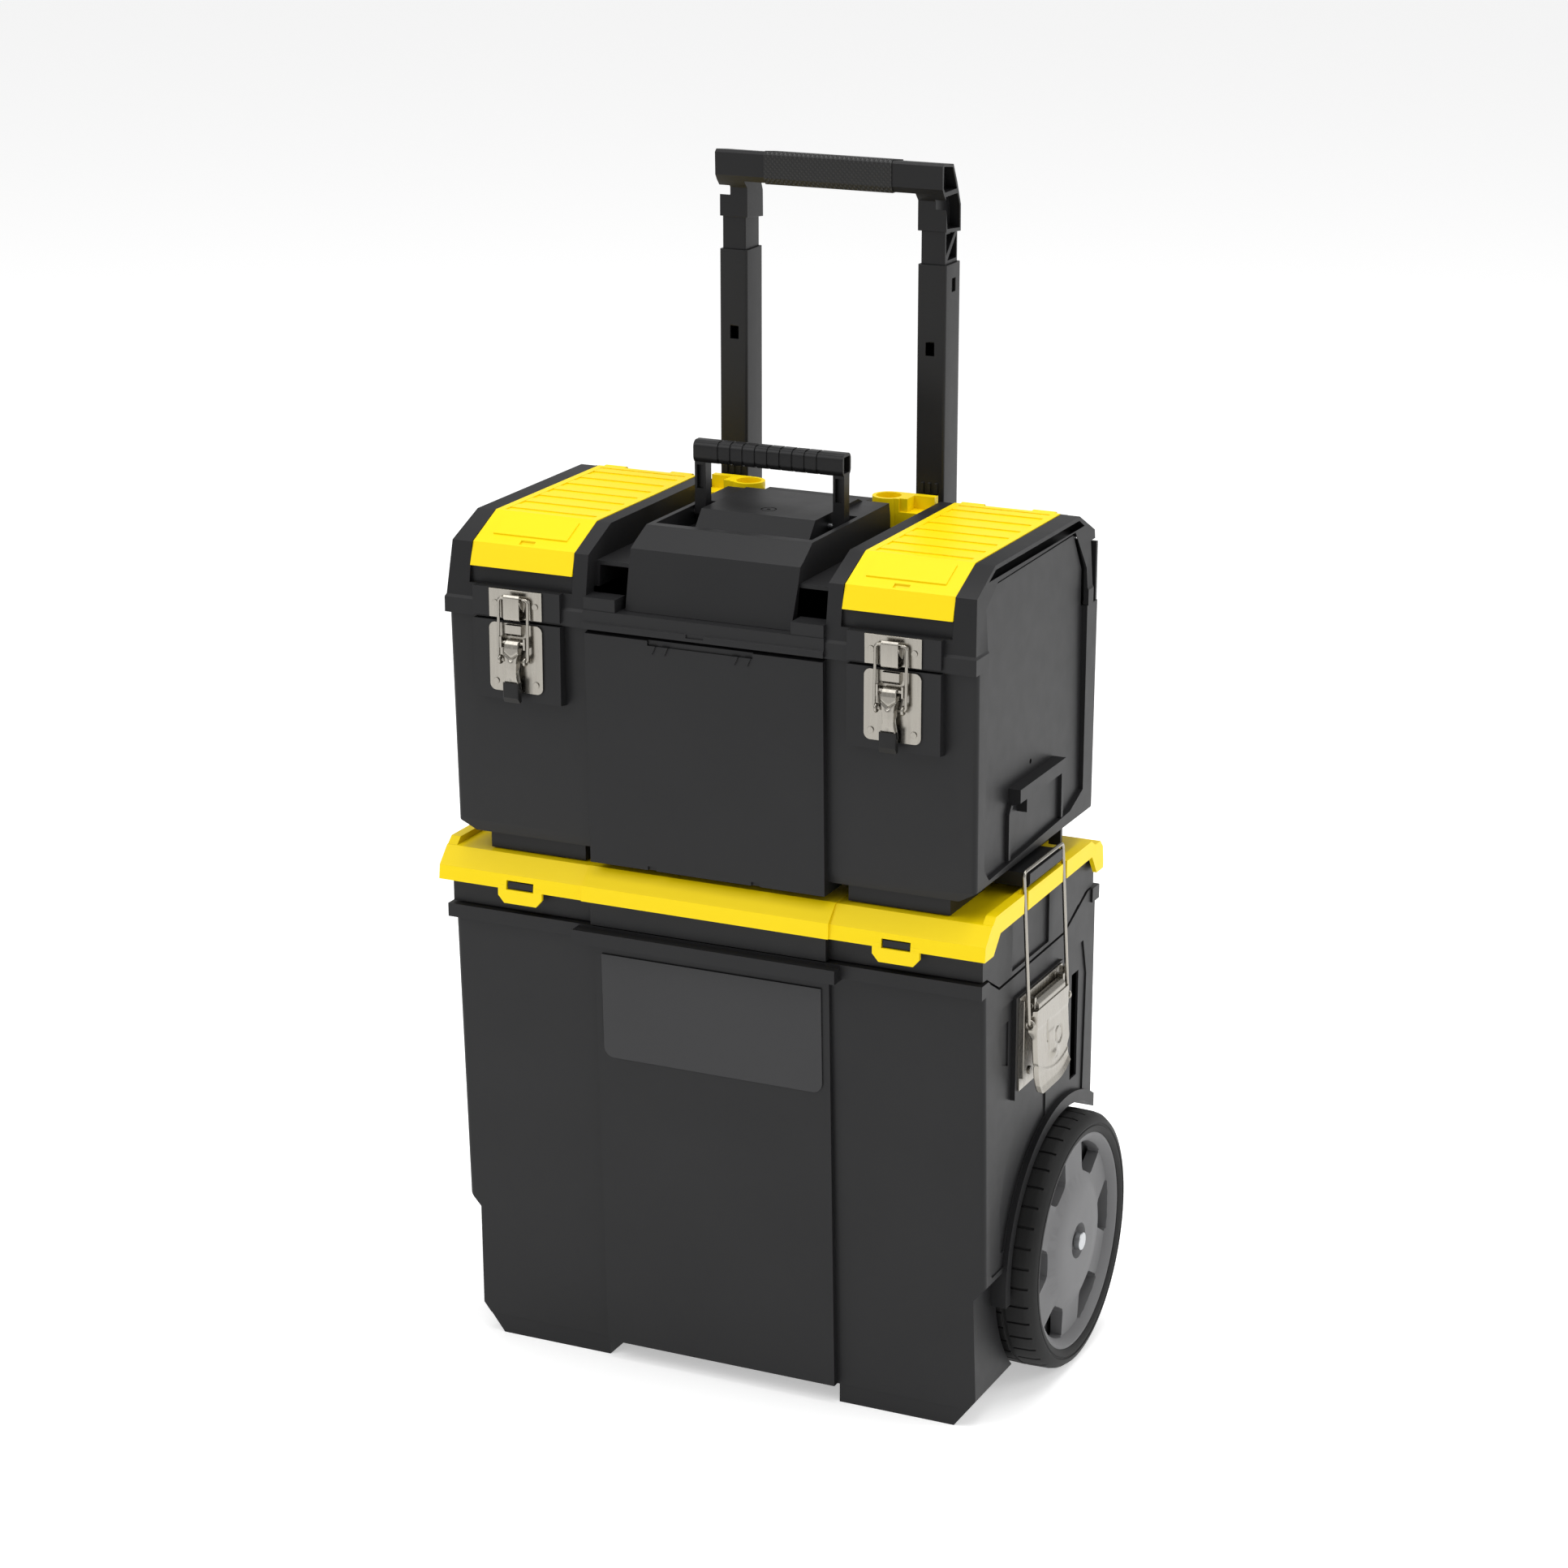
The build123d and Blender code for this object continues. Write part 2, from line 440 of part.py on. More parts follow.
with BuildPart() as top_box_body:
    side_slab([(-117, BOX_LOW), (-119.7, 428), (-124, BOX_RIM), (BOX_BACK, BOX_RIM),
               (BOX_BACK, 428), (100, BOX_LOW)], (-230, 230))
    front_slab(both_ways([(196, BOX_LOW), (210, 427), (BOX_HALF, BOX_RIM)]), (-200, 200),
               mode=Mode.INTERSECT)
    fillet(top_box_body.edges().filter_by(lambda e: e.length > 120 and e.center().Y < -90
                                          and abs(e.center().X) > 200), 4)
    for side in (1, -1):                # recessed side panels
        side_slab(PANEL, span(side, BOX_HALF - SIDE_RECESS, 230),
                  mode=Mode.SUBTRACT)
    # proud centre panel and the feet that stand on the yellow lid
    side_slab([(-125.6, 410.5), (-129.9, 586.4), (-120, BOX_RIM), (-110, 430), (-70, 422),
               (-70, 410.5)], (-PANEL_HALF + 1, PANEL_HALF - 1))
    for side in (1, -1):
        foot_x = span(side, 107.2, 186.9)
        block(foot_x, (-110.5, -45), (405, 421))
        block(foot_x, (30, 94), (405, 421))
        # pads behind the front latches
        pad_x = span(side, LATCH_X - PAD_HALF, LATCH_X + PAD_HALF)
        side_slab([(-131.7, 529), (-131.7, BOX_RIM - 0.4), (-120, BOX_RIM - 0.4), (-118, 527)],
                  pad_x)
        # ledge under the side bail, and the catch shelf above it
        ledge_y = (SIDE_LATCH_Y - 32, SIDE_LATCH_Y + 32)
        front_slab([(side * 190, 421.6), (side * 190, 411), (side * 220, 411),
                    (side * 222, 414), (side * 222, 421.6)], ledge_y)
        front_slab([(side * 200, 486), (side * 200, 470), (side * 216, 476), (side * 216, 486)],
                   (-52, 38))
        # ribs under the shelf, and a gate mark above it
        rib_x = span(side, 200, 209.5)
        side_slab([(-57, 433), (-57, 468), (-50, 479), (-46, 479), (-53.5, 467), (-53.5, 433)], rib_x)
        side_slab([(47, 414), (47, 472), (50.5, 472), (50.5, 414)], rib_x)
        side_slab([(-34, 464), (-34, 478), (-31, 478), (-31, 464)],
                  span(side, 200, 214))
        x_rod(2, span(side, 205, 230), -9.7, 495, mode=Mode.SUBTRACT)
    # finger slot under the lid's flange, small gussets below it, notches in the lower edge
    block((-44, 40), (-140, -128.4), (582.7, 588), mode=Mode.SUBTRACT)
    for x in (-40, -30, 26, 36):
        front_slab([(x - 3, 583), (x + 3, 583), (x, 576.5)], (-131, -127))
    for x in (-44, 40):
        block((x - 3.5, x + 3.5), (-140, -124), (405, 413.5), mode=Mode.SUBTRACT)
    # rear walls carry the lid's hinges; gables close the lid's sides
    for side in (1, -1):
        block(span(side, CHANNEL_HALF, BOX_HALF - 0.6), (106, BOX_BACK),
              (BOX_RIM - 5, BOX_BACK_TOP))
        side_slab(GABLE, span(side, 203.5, 206.5))
    add(box_space.part, mode=Mode.SUBTRACT)
    block((-CHANNEL_HALF, CHANNEL_HALF), (CHANNEL_Y, 200), (400, 700), mode=Mode.SUBTRACT)
    for side in (1, -1):                # hollow tower under each handle clip
        tower_x = span(side, 46, 93)
        block(tower_x, (60, CHANNEL_Y), (BOX_RIM - 20, CLIP_FOOT))
        room_x = span(side, 48.5, 90.5)
        block(room_x, (62.5, CHANNEL_Y - 2.5), (500, CLIP_FOOT - 2.5), mode=Mode.SUBTRACT)
        # hinge lugs and the pins' bores
        for x in (118, 180):
            lug_x = span(side, x, x + 12)
            block(lug_x, (104, BOX_BACK + 3.5), (BOX_BACK_TOP - 14, HINGE_Z))
            x_rod(3.5, lug_x, HINGE_Y, HINGE_Z)
            x_rod(2.05, lug_x, HINGE_Y, HINGE_Z, mode=Mode.SUBTRACT)
save(top_box_body.part, "top_box_body")

with BuildPart() as lid_hinge_pins:
    for side in (1, -1):
        for x in (118, 180):
            x_rod(2, span(side, x - 6, x + 18), HINGE_Y, HINGE_Z)
save(lid_hinge_pins.part, "lid_hinge_pins")

with BuildPart() as handle_clip:        # yellow clip beside each pull-handle tube
    with BuildSketch(Plane.XY.offset(CLIP_FOOT)) as clip_outline:
        with Locations((CLIP_X, CLIP_Y)):
            Circle(12.5)
        with Locations((CLIP_X, CLIP_Y - 9)):
            Rectangle(34.5, 21.8, align=(Align.MIN, Align.MIN))
    extrude(clip_outline.sketch, amount=22)
    with Locations((CLIP_X, CLIP_Y, CLIP_FOOT + 22)):
        Hole(9.5, depth=14)
    block((76, 95), (55, 76), (CLIP_FOOT + 12, 700), mode=Mode.SUBTRACT)
    block((70, 95), (55, 62.5), (CLIP_FOOT + 12, 700), mode=Mode.SUBTRACT)
save_pair(handle_clip.part, "handle_clip")


# ---------------------------------------------------------------- front latches
LATCH_PIN_Y, LATCH_PIN_Z = -136.2, 574.0        # lever pivot, along X
LATCH_EYE_Y, LATCH_EYE_Z = -137.6, 561.0        # where the wire bail hangs on the lever
LATCH_TOP_Y, LATCH_TOP_Z = -135.9, 607.0
FINE_WIRE_R = 1.2

with BuildPart() as latch_plate:
    with BuildSketch(Plane.XZ.offset(131.7)) as plate_face:
        with Locations((LATCH_X, 561.75)):
            RectangleRounded(2 * LATCH_HALF, 51.7, 5)
    extrude(plate_face.sketch, amount=1.5)
    for x in (LATCH_X - 10.5, LATCH_X + 9):
        block((x, x + 1.5), (-138.6, -133), (570, 578.4))
    x_rod(1.45, (LATCH_X - 15, LATCH_X + 15), LATCH_PIN_Y, LATCH_PIN_Z, mode=Mode.SUBTRACT)
    # raised hood above the pivot
    side_slab([(-133, 578.6), (-134.6, 578.6), (-136.9, 580.8), (-136.9, 587.2), (-133, 587.4)],
              (LATCH_X - 6.5, LATCH_X + 6.5))
save_pair(latch_plate.part, "latch_plate")

with BuildPart() as latch_pins:
    for side in (1, -1):
        x_rod(1.4, span(side, LATCH_X - 10.6, LATCH_X + 10.6),
              LATCH_PIN_Y, LATCH_PIN_Z)
save(latch_pins.part, "latch_pins")

with BuildPart() as latch_rivets:
    for side in (1, -1):
        for x in (LATCH_X - 16.5, LATCH_X + 16.5):
            y_rod(2.4, (-134.1, -133.2), side * x, 543)
save(latch_rivets.part, "latch_rivets")

with BuildPart() as latch_lever:
    x_rod(2.4, (LATCH_X - 8.6, LATCH_X + 8.6), LATCH_PIN_Y, LATCH_PIN_Z)
    side_slab([(-136.2, 576.4), (-139.6, 575.5), (-141.4, 566), (-141.2, 545), (-140, 540.5),
               (-138.6, 540.5), (-139.8, 546), (-140, 565), (-138, 572), (-136.2, 572)],
              (LATCH_X - 8.6, LATCH_X + 8.6))
    for x in (LATCH_X - 8.6, LATCH_X + 7.1):
        side_slab([(-140, 571), (-136, 564), (-135.8, 558), (-140, 548)], (x, x + 1.5))
    x_rod(1.45, (LATCH_X - 15, LATCH_X + 15), LATCH_PIN_Y, LATCH_PIN_Z, mode=Mode.SUBTRACT)
    x_rod(FINE_WIRE_R + 0.06, (LATCH_X - 15, LATCH_X + 15), LATCH_EYE_Y, LATCH_EYE_Z,
          mode=Mode.SUBTRACT)
save_pair(latch_lever.part, "latch_lever")

with BuildPart() as lever_tip:          # rubber sleeve on the lever's free end
    side_slab([(-136.4, 545), (-143, 545), (-143, 534), (-140, 529.5), (-136.4, 531)],
              (LATCH_X - 6.5, LATCH_X + 6.5))
    fillet(lever_tip.edges().filter_by(Axis.Z), 1.5)
    side_slab([(-141.6, 566), (-141.3, 544.8), (-140.1, 540.2), (-138.4, 540.2),
               (-139.7, 546), (-139.9, 566)], (LATCH_X - 9, LATCH_X + 9), mode=Mode.SUBTRACT)
save_pair(lever_tip.part, "lever_tip")

with BuildPart() as latch_bail:
    for x in (LATCH_X - 12, LATCH_X + 12):
        inner = x + (5.4 if x < LATCH_X else -5.4)
        with BuildLine() as fine_wire:
            FilletPolyline((inner, LATCH_EYE_Y, LATCH_EYE_Z), (x, LATCH_EYE_Y, LATCH_EYE_Z),
                           (x, LATCH_TOP_Y, LATCH_TOP_Z), (LATCH_X, LATCH_TOP_Y, LATCH_TOP_Z),
                           radius=2.6)
        with BuildSketch(Plane(origin=(inner, LATCH_EYE_Y, LATCH_EYE_Z), z_dir=(1, 0, 0))) as bead:
            Circle(FINE_WIRE_R)
        sweep(bead.sketch, path=fine_wire.line)
save_pair(latch_bail.part, "latch_bail")

with BuildPart() as strike_plate:
    with BuildSketch(Plane.XZ.offset(131.7)) as strike_face:
        with Locations((LATCH_X, 602)):
            Rectangle(2 * LATCH_HALF, 21.6)
    extrude(strike_face.sketch, amount=1.5)
    # tongue that the bail is pulled down on
    side_slab([(-133, 597), (-137.4, 601), (-139.4, 605.4), (-137.6, 605.6), (-133, 604.4)],
              (LATCH_X - 7.2, LATCH_X + 7.2))
save_pair(strike_plate.part, "strike_plate")

with BuildPart() as strike_rivets:
    for side in (1, -1):
        for x in (LATCH_X - 16.5, LATCH_X + 16.5):
            y_rod(2.4, (-134.1, -133.2), side * x, 602)
save(strike_rivets.part, "strike_rivets")


# ---------------------------------------------------------------- tool box lid
LID_FACE = [(-129, BOX_RIM + 0.4), (-129, 601), (-127.4, 603), (-121, 642.5), (-85, ROOF),
            (TRAY_BACK, ROOF), (BOX_BACK - 1, 642.5), (BOX_BACK - 1, BOX_BACK_TOP + 2),
            (99, BOX_BACK_TOP + 2), (99, BOX_RIM + 0.4)]
CENTRE_FLOOR = 636.0

with BuildPart() as top_lid:
    side_slab(LID_FACE, (-211.6, 211.6))
    front_slab(both_ways([(211.6, BOX_RIM), (211.6, 601), (210.6, 603), (208.2, 642),
                          (206.9, ROOF)]), (-200, 200), mode=Mode.INTERSECT)
    # cut the middle down to its floor between the organiser towers
    side_slab([(-200, 604), (-111, 604), (-108.5, CENTRE_FLOOR), (200, CENTRE_FLOOR), (200, 700),
               (-200, 700)], (-TOWER_IN, TOWER_IN), mode=Mode.SUBTRACT)
    side_slab([(-132, 590), (-132, 594.5), (-130.6, 595.5), (-130.6, 604), (-115, 604), (-115, 590)],
              (-PANEL_HALF, PANEL_HALF))
    block((-12, 2), (-140, -130.9), (592.4, 596), mode=Mode.SUBTRACT)
    for side in (1, -1):                # step blocks beside the centre cover
        block(span(side, 70, TOWER_IN), (-130, -111.5), (601, 613.4))
        # strike plates' pads
        pad_x = span(side, LATCH_X - PAD_HALF, LATCH_X + PAD_HALF)
        block(pad_x, (-131.7, -123), (BOX_RIM + 2.5, 613))
    # hollow under the middle
    side_slab([(-126, 580), (-126, 601), (-113.5, 601), (-111, CENTRE_FLOOR - 3),
               (76, CENTRE_FLOOR - 3), (76, 580)], (-92.5, 92.5), mode=Mode.SUBTRACT)
    side_slab([(-126, 580), (-126, 601), (-113.5, 601), (-113, 617), (76, 617), (76, 580)],
              (-TOWER_IN - WALL - 0.5, TOWER_IN + WALL + 0.5), mode=Mode.SUBTRACT)
    block((-95.6, 95.6), (CHANNEL_Y - 0.4, 200), (580, 700), mode=Mode.SUBTRACT)
    for side in (1, -1):
        # front of each organiser set back under its yellow lid, and the lid's seat
        seat_x = span(side, TRAY_IN, TRAY_OUT)
        side_slab([(-150, 613), (-122, 613), (-121.6, 626), (-117.6, 640.2), (-83.6, 655),
                   (76, 655), (76, 651.5), (88.5, 651.5), (88.5, 700), (-150, 700)], seat_x,
                  mode=Mode.SUBTRACT)
        # organiser tray
        tray_x = span(side, TRAY_IN + 3, TRAY_OUT - 3)
        side_slab([(-118, 620), (-118, 632), (-113, 641.5), (-81, 700), (73, 700), (73, 620)],
                  tray_x, mode=Mode.SUBTRACT)
        # hollow under the tray and in the hollow walls beside it
        under_x = span(side, TOWER_IN + WALL, 202)
        side_slab([(-126, 580), (-126, 600), (-119.5, 612), (-119.5, 617), (105, 617),
                   (105, 580)], under_x, mode=Mode.SUBTRACT)
        wall_x = span(side, TRAY_OUT + 0.01, 207.6)
        side_slab([(-126, 580), (-126, 600), (-118.5, 641), (-84.3, 655.5), (78, 655.5),
                   (102, 641), (105, 636), (105, 580)], wall_x, mode=Mode.SUBTRACT)
        # opening in the side wall round the gable
        gable_x = span(side, 207, 230)
        side_slab([(-105.5, 580), (-105.5, 631.8), (-82, 646.2), (69, 648.6), (88.6, 618),
                   (88.6, 580)], gable_x, mode=Mode.SUBTRACT)
        # notch round each handle clip
        notch_x = span(side, 43, 95.6)
        block(notch_x, (51.5, 130), (580, 700), mode=Mode.SUBTRACT)
        # hinge knuckles
        for x in (112, 130.5, 174, 192.5):
            knuckle_x = span(side, x, x + 5.5)
            x_rod(3.5, knuckle_x, HINGE_Y, HINGE_Z)
            side_slab([(100, 641), (105, 643.5), (HINGE_Y, 643.4), (HINGE_Y, 637),
                       (104, 636.5)], knuckle_x)
            x_rod(2.06, knuckle_x, HINGE_Y, HINGE_Z, mode=Mode.SUBTRACT)
        lug_room = [(117.5, 130.5), (179.5, 192.5)]
        for x0, x1 in lug_room:
            block(span(side, x0, x1), (103, 120), (620, 644.2),
                  mode=Mode.SUBTRACT)
        # bores of the organiser lid's hinge pin
        x_rod(1.55, span(side, TRAY_IN - 6, TRAY_IN), 82.2, 656.4,
              mode=Mode.SUBTRACT)
        x_rod(1.55, span(side, TRAY_OUT - 1, TRAY_OUT + 5), 82.2, 656.4,
              mode=Mode.SUBTRACT)
    # raised deck between the handle clips
    side_slab([(56, CENTRE_FLOOR), (56, 657.5), (74, 657.5), (CHANNEL_Y - 1, 650),
               (CHANNEL_Y - 1, CENTRE_FLOOR)], (-42.5, 42.5))
save(top_lid.part, "top_lid")

with BuildPart() as centre_cover:
    side_slab([(-121, 604.2), (-108.3, 647.7), (-85.3, 660.5), (50.6, 660.5),
               (50.6, CENTRE_FLOOR + 0.2), (-108.9, CENTRE_FLOOR + 0.2), (-111.4, 604.2)],
              (-67.5, 67.5))
    front_slab(both_ways([(66, 604), (68, 647), (66.4, 661)]), (-200, 200), mode=Mode.INTERSECT)
    block((-62.5, 62.5), (-78, 2), (646, 700), mode=Mode.SUBTRACT)
    side_slab([(-52, 646), (-36, 664), (40, 664), (48, 660.5), (48, 646)], (-46, 46))
    # moulded hollow from below
    side_slab([(-117.4, 600), (-107, 642.8), (-104, 646.5), (-85, 657.2), (-81.2, 657.4),
               (-81.2, 643), (5, 643), (5, 657.5), (47.6, 657.5), (47.6, 600)], (-64, 64),
              mode=Mode.SUBTRACT)
    side_slab([(-46.5, 640), (-34, 661), (38, 661), (45, 658), (45, 640)], (-43, 43),
              mode=Mode.SUBTRACT)
    x_rod(2.05, (-66, 66), -13, 655, mode=Mode.SUBTRACT)
    with BuildSketch(Plane.XY.offset(663.4)) as gate_mark:
        with Locations((0, -18)):
            Circle(6)
            Circle(5, mode=Mode.SUBTRACT)
            Circle(1.6)
    extrude(gate_mark.sketch, amount=2, mode=Mode.SUBTRACT)
save(centre_cover.part, "centre_cover")

with BuildPart() as carry_handle_pins:
    for side in (1, -1):
        x_rod(2, span(side, 43.4, 66), -13, 655)
save(carry_handle_pins.part, "carry_handle_pins")

with BuildPart() as carry_handle:
    with BuildSketch(Plane.YZ.offset(-60.5)) as bar_section:
        with Locations((-13, 702)):
            RectangleRounded(14.5, 17, 5)
    extrude(bar_section.sketch, amount=121)
    for side in (1, -1):
        leg_x = span(side, 51.5, 60.5)
        side_slab([(-18, 700), (-17.5, 668), (-18.5, 655), (-16, 650.5), (-10, 650.5),
                   (-7.5, 655), (-8.5, 668), (-8, 700)], leg_x)
        channel_x = span(side, 53.4, 58.6)
        block(channel_x, (-20, -14.6), (674, 692), mode=Mode.SUBTRACT)
        block(channel_x, (-11.4, -5), (674, 692), mode=Mode.SUBTRACT)
    for i in range(9):                  # grooves between the grip's segments
        with BuildSketch(Plane.YZ.offset(-41 + 10 * i)) as groove:
            with Locations((-13, 702)):
                Rectangle(20, 22)
                RectangleRounded(12.9, 15.4, 4.4, mode=Mode.SUBTRACT)
        extrude(groove.sketch, amount=1.6, mode=Mode.SUBTRACT)
    for side in (1, -1):                # hollow ends
        end_x = span(side, 52, 62)
        block(end_x, (-18, -8), (696, 708), mode=Mode.SUBTRACT)
    x_rod(2.06, (-70, 70), -13, 655, mode=Mode.SUBTRACT)
save(carry_handle.part, "carry_handle")

with BuildPart() as organizer_lid:
    side_slab([(-125, 625.8), (-119.3, 642.6), (-84, 659), (79, 659), (80.4, 657.6), (79, 655.2),
               (-83.6, 655.4), (-118, 640.7), (-122, 626.2), (-122.2, 625.8)],
              (TRAY_IN + 0.4, TRAY_OUT - 0.4))
    # sunk middle with cross ribs, raised pad and thumb slot
    block((TRAY_IN + 6, TRAY_OUT - 6), (-81, 73), (658, 670), mode=Mode.SUBTRACT)
    for y in range(-72, 72, 22):
        block((TRAY_IN + 5, TRAY_OUT - 5), (y, y + 11), (656, 658.8))
    side_slab([(-109.4, 646.4), (-109.9, 648.1), (-89.8, 657.4), (-89.2, 656)],
              (TRAY_IN + 12, TRAY_OUT - 12))
    side_slab([(-117.5, 641), (-117.5, 646), (-113, 648), (-113, 644)], (LATCH_X - 7.5, LATCH_X + 4.5),
              mode=Mode.SUBTRACT)
    for x in (112, 169):
        x_rod(2.9, (x, x + 18), 82.2, 656.4)
        side_slab([(76, 658.9), (82.2, 659.2), (82.2, 655), (76, 655.2)], (x, x + 18))
    x_rod(1.56, (100, 200), 82.2, 656.4, mode=Mode.SUBTRACT)
save_pair(organizer_lid.part, "organizer_lid")

with BuildPart() as organizer_pins:
    for side in (1, -1):
        x_rod(1.5, span(side, TRAY_IN - 5, TRAY_OUT + 4), 82.2, 656.4)
save(organizer_pins.part, "organizer_pins")


# ---------------------------------------------------------------- pull handle
with BuildPart() as handle_tube:
    tube_mid = ((TUBE_IN + TUBE_OUT) / 2, (TUBE_FRONT + TUBE_BACK) / 2)
    tube_size = (TUBE_OUT - TUBE_IN, TUBE_BACK - TUBE_FRONT)
    with BuildSketch(Plane.XY.offset(TUBE_LOW)) as tube_section:
        with Locations(tube_mid):
            RectangleRounded(*tube_size, 2)
            RectangleRounded(tube_size[0] - 3.4, tube_size[1] - 3.4, 1, mode=Mode.SUBTRACT)
    extrude(tube_section.sketch, amount=TUBE_TOP - TUBE_LOW)
    block((77, 84), (TUBE_FRONT - 1, TUBE_FRONT + 3), (765, 775), mode=Mode.SUBTRACT)
    block((TUBE_OUT - 3, TUBE_OUT + 1), (103, 110), (812, 822), mode=Mode.SUBTRACT)
    for x in (75, 80.5, 86):            # three small ribs that click past the bin's guide
        block((x, x + 2.2), (TUBE_FRONT - 1.6, TUBE_FRONT + 0.5), (661, 669))
save_pair(handle_tube.part, "handle_tube")

with BuildPart() as tube_plug:          # plugs in the tubes' feet
    with BuildSketch(Plane.XY.offset(TUBE_LOW - 3)) as plug_flange:
        with Locations(tube_mid):
            RectangleRounded(*tube_size, 2)
    extrude(plug_flange.sketch, amount=3)
    with BuildSketch(Plane.XY.offset(TUBE_LOW)) as plug_spigot:
        with Locations(tube_mid):
            RectangleRounded(tube_size[0] - 3.8, tube_size[1] - 3.8, 1)
    extrude(plug_spigot.sketch, amount=25)
save_pair(tube_plug.part, "tube_plug")

GRIP_END = [(92, 857.8), (120, 855), (119.6, 875), (112, 893), (104.8, 906.5), (86, 909),
            (83.8, 907), (84.2, 890), (87, 885.5), (92, 880)]
with BuildPart() as handle_grip:
    for side in (1, -1):
        # neck in the tube's mouth, and the elbow above it
        with BuildSketch(Plane.XY.offset(795)) as neck:
            with Locations((side * tube_mid[0], tube_mid[1])):
                RectangleRounded(tube_size[0] - 3.8, tube_size[1] - 3.8, 1)
        extrude(neck.sketch, amount=63.5)
        side_slab(GRIP_END, span(side, TUBE_IN - 0.3, TUBE_OUT - 0.4))
        # hollow outer faces: a pocket in the elbow, and a braced pocket in the neck
        hollow_x = span(side, TUBE_OUT - 9, TUBE_OUT)
        side_slab([(94.2, 860), (117.8, 858), (117.4, 874.5), (113, 884), (90.5, 884)], hollow_x,
                  mode=Mode.SUBTRACT)
        side_slab([(89, 887.6), (111.6, 887.6), (103.4, 904.4), (86.8, 906.6), (86.2, 891)],
                  hollow_x, mode=Mode.SUBTRACT)
        side_slab([(96, 840), (96, 855.5), (112, 855.5)], hollow_x, mode=Mode.SUBTRACT)
        side_slab([(115, 853), (115, 836), (98.5, 836)], hollow_x, mode=Mode.SUBTRACT)
    side_slab([(84.2, 890), (83.8, 907), (86, 909), (104.8, 906.5), (107.5, 890), (104, 885.5),
               (87, 885.5)], (-TUBE_IN, TUBE_IN))
save(handle_grip.part, "handle_grip")

with BuildPart() as handle_sleeve:      # knurled sleeve round the middle of the bar
    with BuildSketch(Plane.YZ.offset(-52)) as sleeve_section:
        with BuildLine():
            Polyline((84.2, 890), (83.8, 907), (86, 909), (104.8, 906.5), (107.5, 890),
                     (104, 885.5), (87, 885.5), close=True)
        make_face()
        offset(amount=0.8)
        with BuildLine():
            Polyline((84.2, 890), (83.8, 907), (86, 909), (104.8, 906.5), (107.5, 890),
                     (104, 885.5), (87, 885.5), close=True)
        make_face(mode=Mode.SUBTRACT)
    extrude(sleeve_section.sketch, amount=104)
save(handle_sleeve.part, "handle_sleeve")
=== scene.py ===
# %% [markdown]
# # A rolling tool box, dressed from its CAD frame
# The real object is three plastic mouldings stacked on a pair of wheels: a bin at the bottom, a tub
# with a yellow lid in the middle and a tool box on top, with a pull handle behind them. The CAD model
# already holds every size and every joint. This script loads it as a fixed frame, gives each piece the
# soft edges and the moulded or plated surface of the real one, and adds the small details.

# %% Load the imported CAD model
import json
import math

import bmesh
import bpy
from mathutils import Matrix, Vector


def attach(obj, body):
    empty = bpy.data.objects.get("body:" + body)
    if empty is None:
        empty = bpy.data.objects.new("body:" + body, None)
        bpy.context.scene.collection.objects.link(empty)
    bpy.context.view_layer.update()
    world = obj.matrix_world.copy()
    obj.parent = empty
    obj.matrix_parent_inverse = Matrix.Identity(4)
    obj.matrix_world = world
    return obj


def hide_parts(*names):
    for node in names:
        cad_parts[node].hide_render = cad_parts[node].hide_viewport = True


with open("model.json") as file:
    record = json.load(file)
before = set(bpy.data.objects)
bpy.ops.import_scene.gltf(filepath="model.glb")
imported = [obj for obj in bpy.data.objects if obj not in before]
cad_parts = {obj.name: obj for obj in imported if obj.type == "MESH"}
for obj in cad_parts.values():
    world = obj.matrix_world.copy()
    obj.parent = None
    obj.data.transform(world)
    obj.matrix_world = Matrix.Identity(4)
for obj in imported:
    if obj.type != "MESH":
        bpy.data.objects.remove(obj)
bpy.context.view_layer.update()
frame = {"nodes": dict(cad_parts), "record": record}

MM = 0.001                              # the CAD sizes below are read in millimetres

# %% [markdown]
# ## Colours and nodes
# A hex colour is what a person reads off a swatch, and it is stored in sRGB. A shader works in linear
# light, so each colour is turned to linear once, here. Every material below is a small tree of nodes.
# One helper adds any node: a key that names a socket sets that socket, any other key sets a property of
# the node, and the links are given as socket name and where it comes from.

# %% Helpers for colours and node trees
def linear(hex_colour):
    """Linear RGBA of an sRGB hex colour such as #ffcc00."""
    channels = [int(hex_colour[i:i + 2], 16) / 255 for i in (1, 3, 5)]
    curve = [c / 12.92 if c <= 0.04045 else ((c + 0.055) / 1.055) ** 2.4 for c in channels]
    return (*curve, 1.0)


def put(tree, kind, settings=None, links=None):
    """Add one node to a tree, with its settings and its links."""
    node = tree.nodes.new(kind)
    for name, value in (settings or {}).items():
        if isinstance(name, str) and hasattr(node, name):
            setattr(node, name, value)
    for name, value in (settings or {}).items():
        if isinstance(name, int) or not hasattr(node, name):
            node.inputs[name].default_value = value
    for name, source in (links or {}).items():
        tree.links.new(source, node.inputs[name])
    return node


def new_material(name):
    """An empty material: its tree, its Principled shader and its Object coordinates."""
    material = bpy.data.materials.new(name)
    material.use_nodes = True
    tree = material.node_tree
    tree.nodes.clear()
    shader = put(tree, "ShaderNodeBsdfPrincipled")
    put(tree, "ShaderNodeOutputMaterial", links={"Surface": shader.outputs["BSDF"]})
    place = put(tree, "ShaderNodeTexCoord").outputs["Object"]
    return material, tree, shader, place


def per_metre(size_mm):
    """Scale of a texture whose features are this many millimetres across."""
    return 1 / (size_mm * MM)


print("swatch check, mid grey in linear light:", round(linear("#808080")[0], 3))

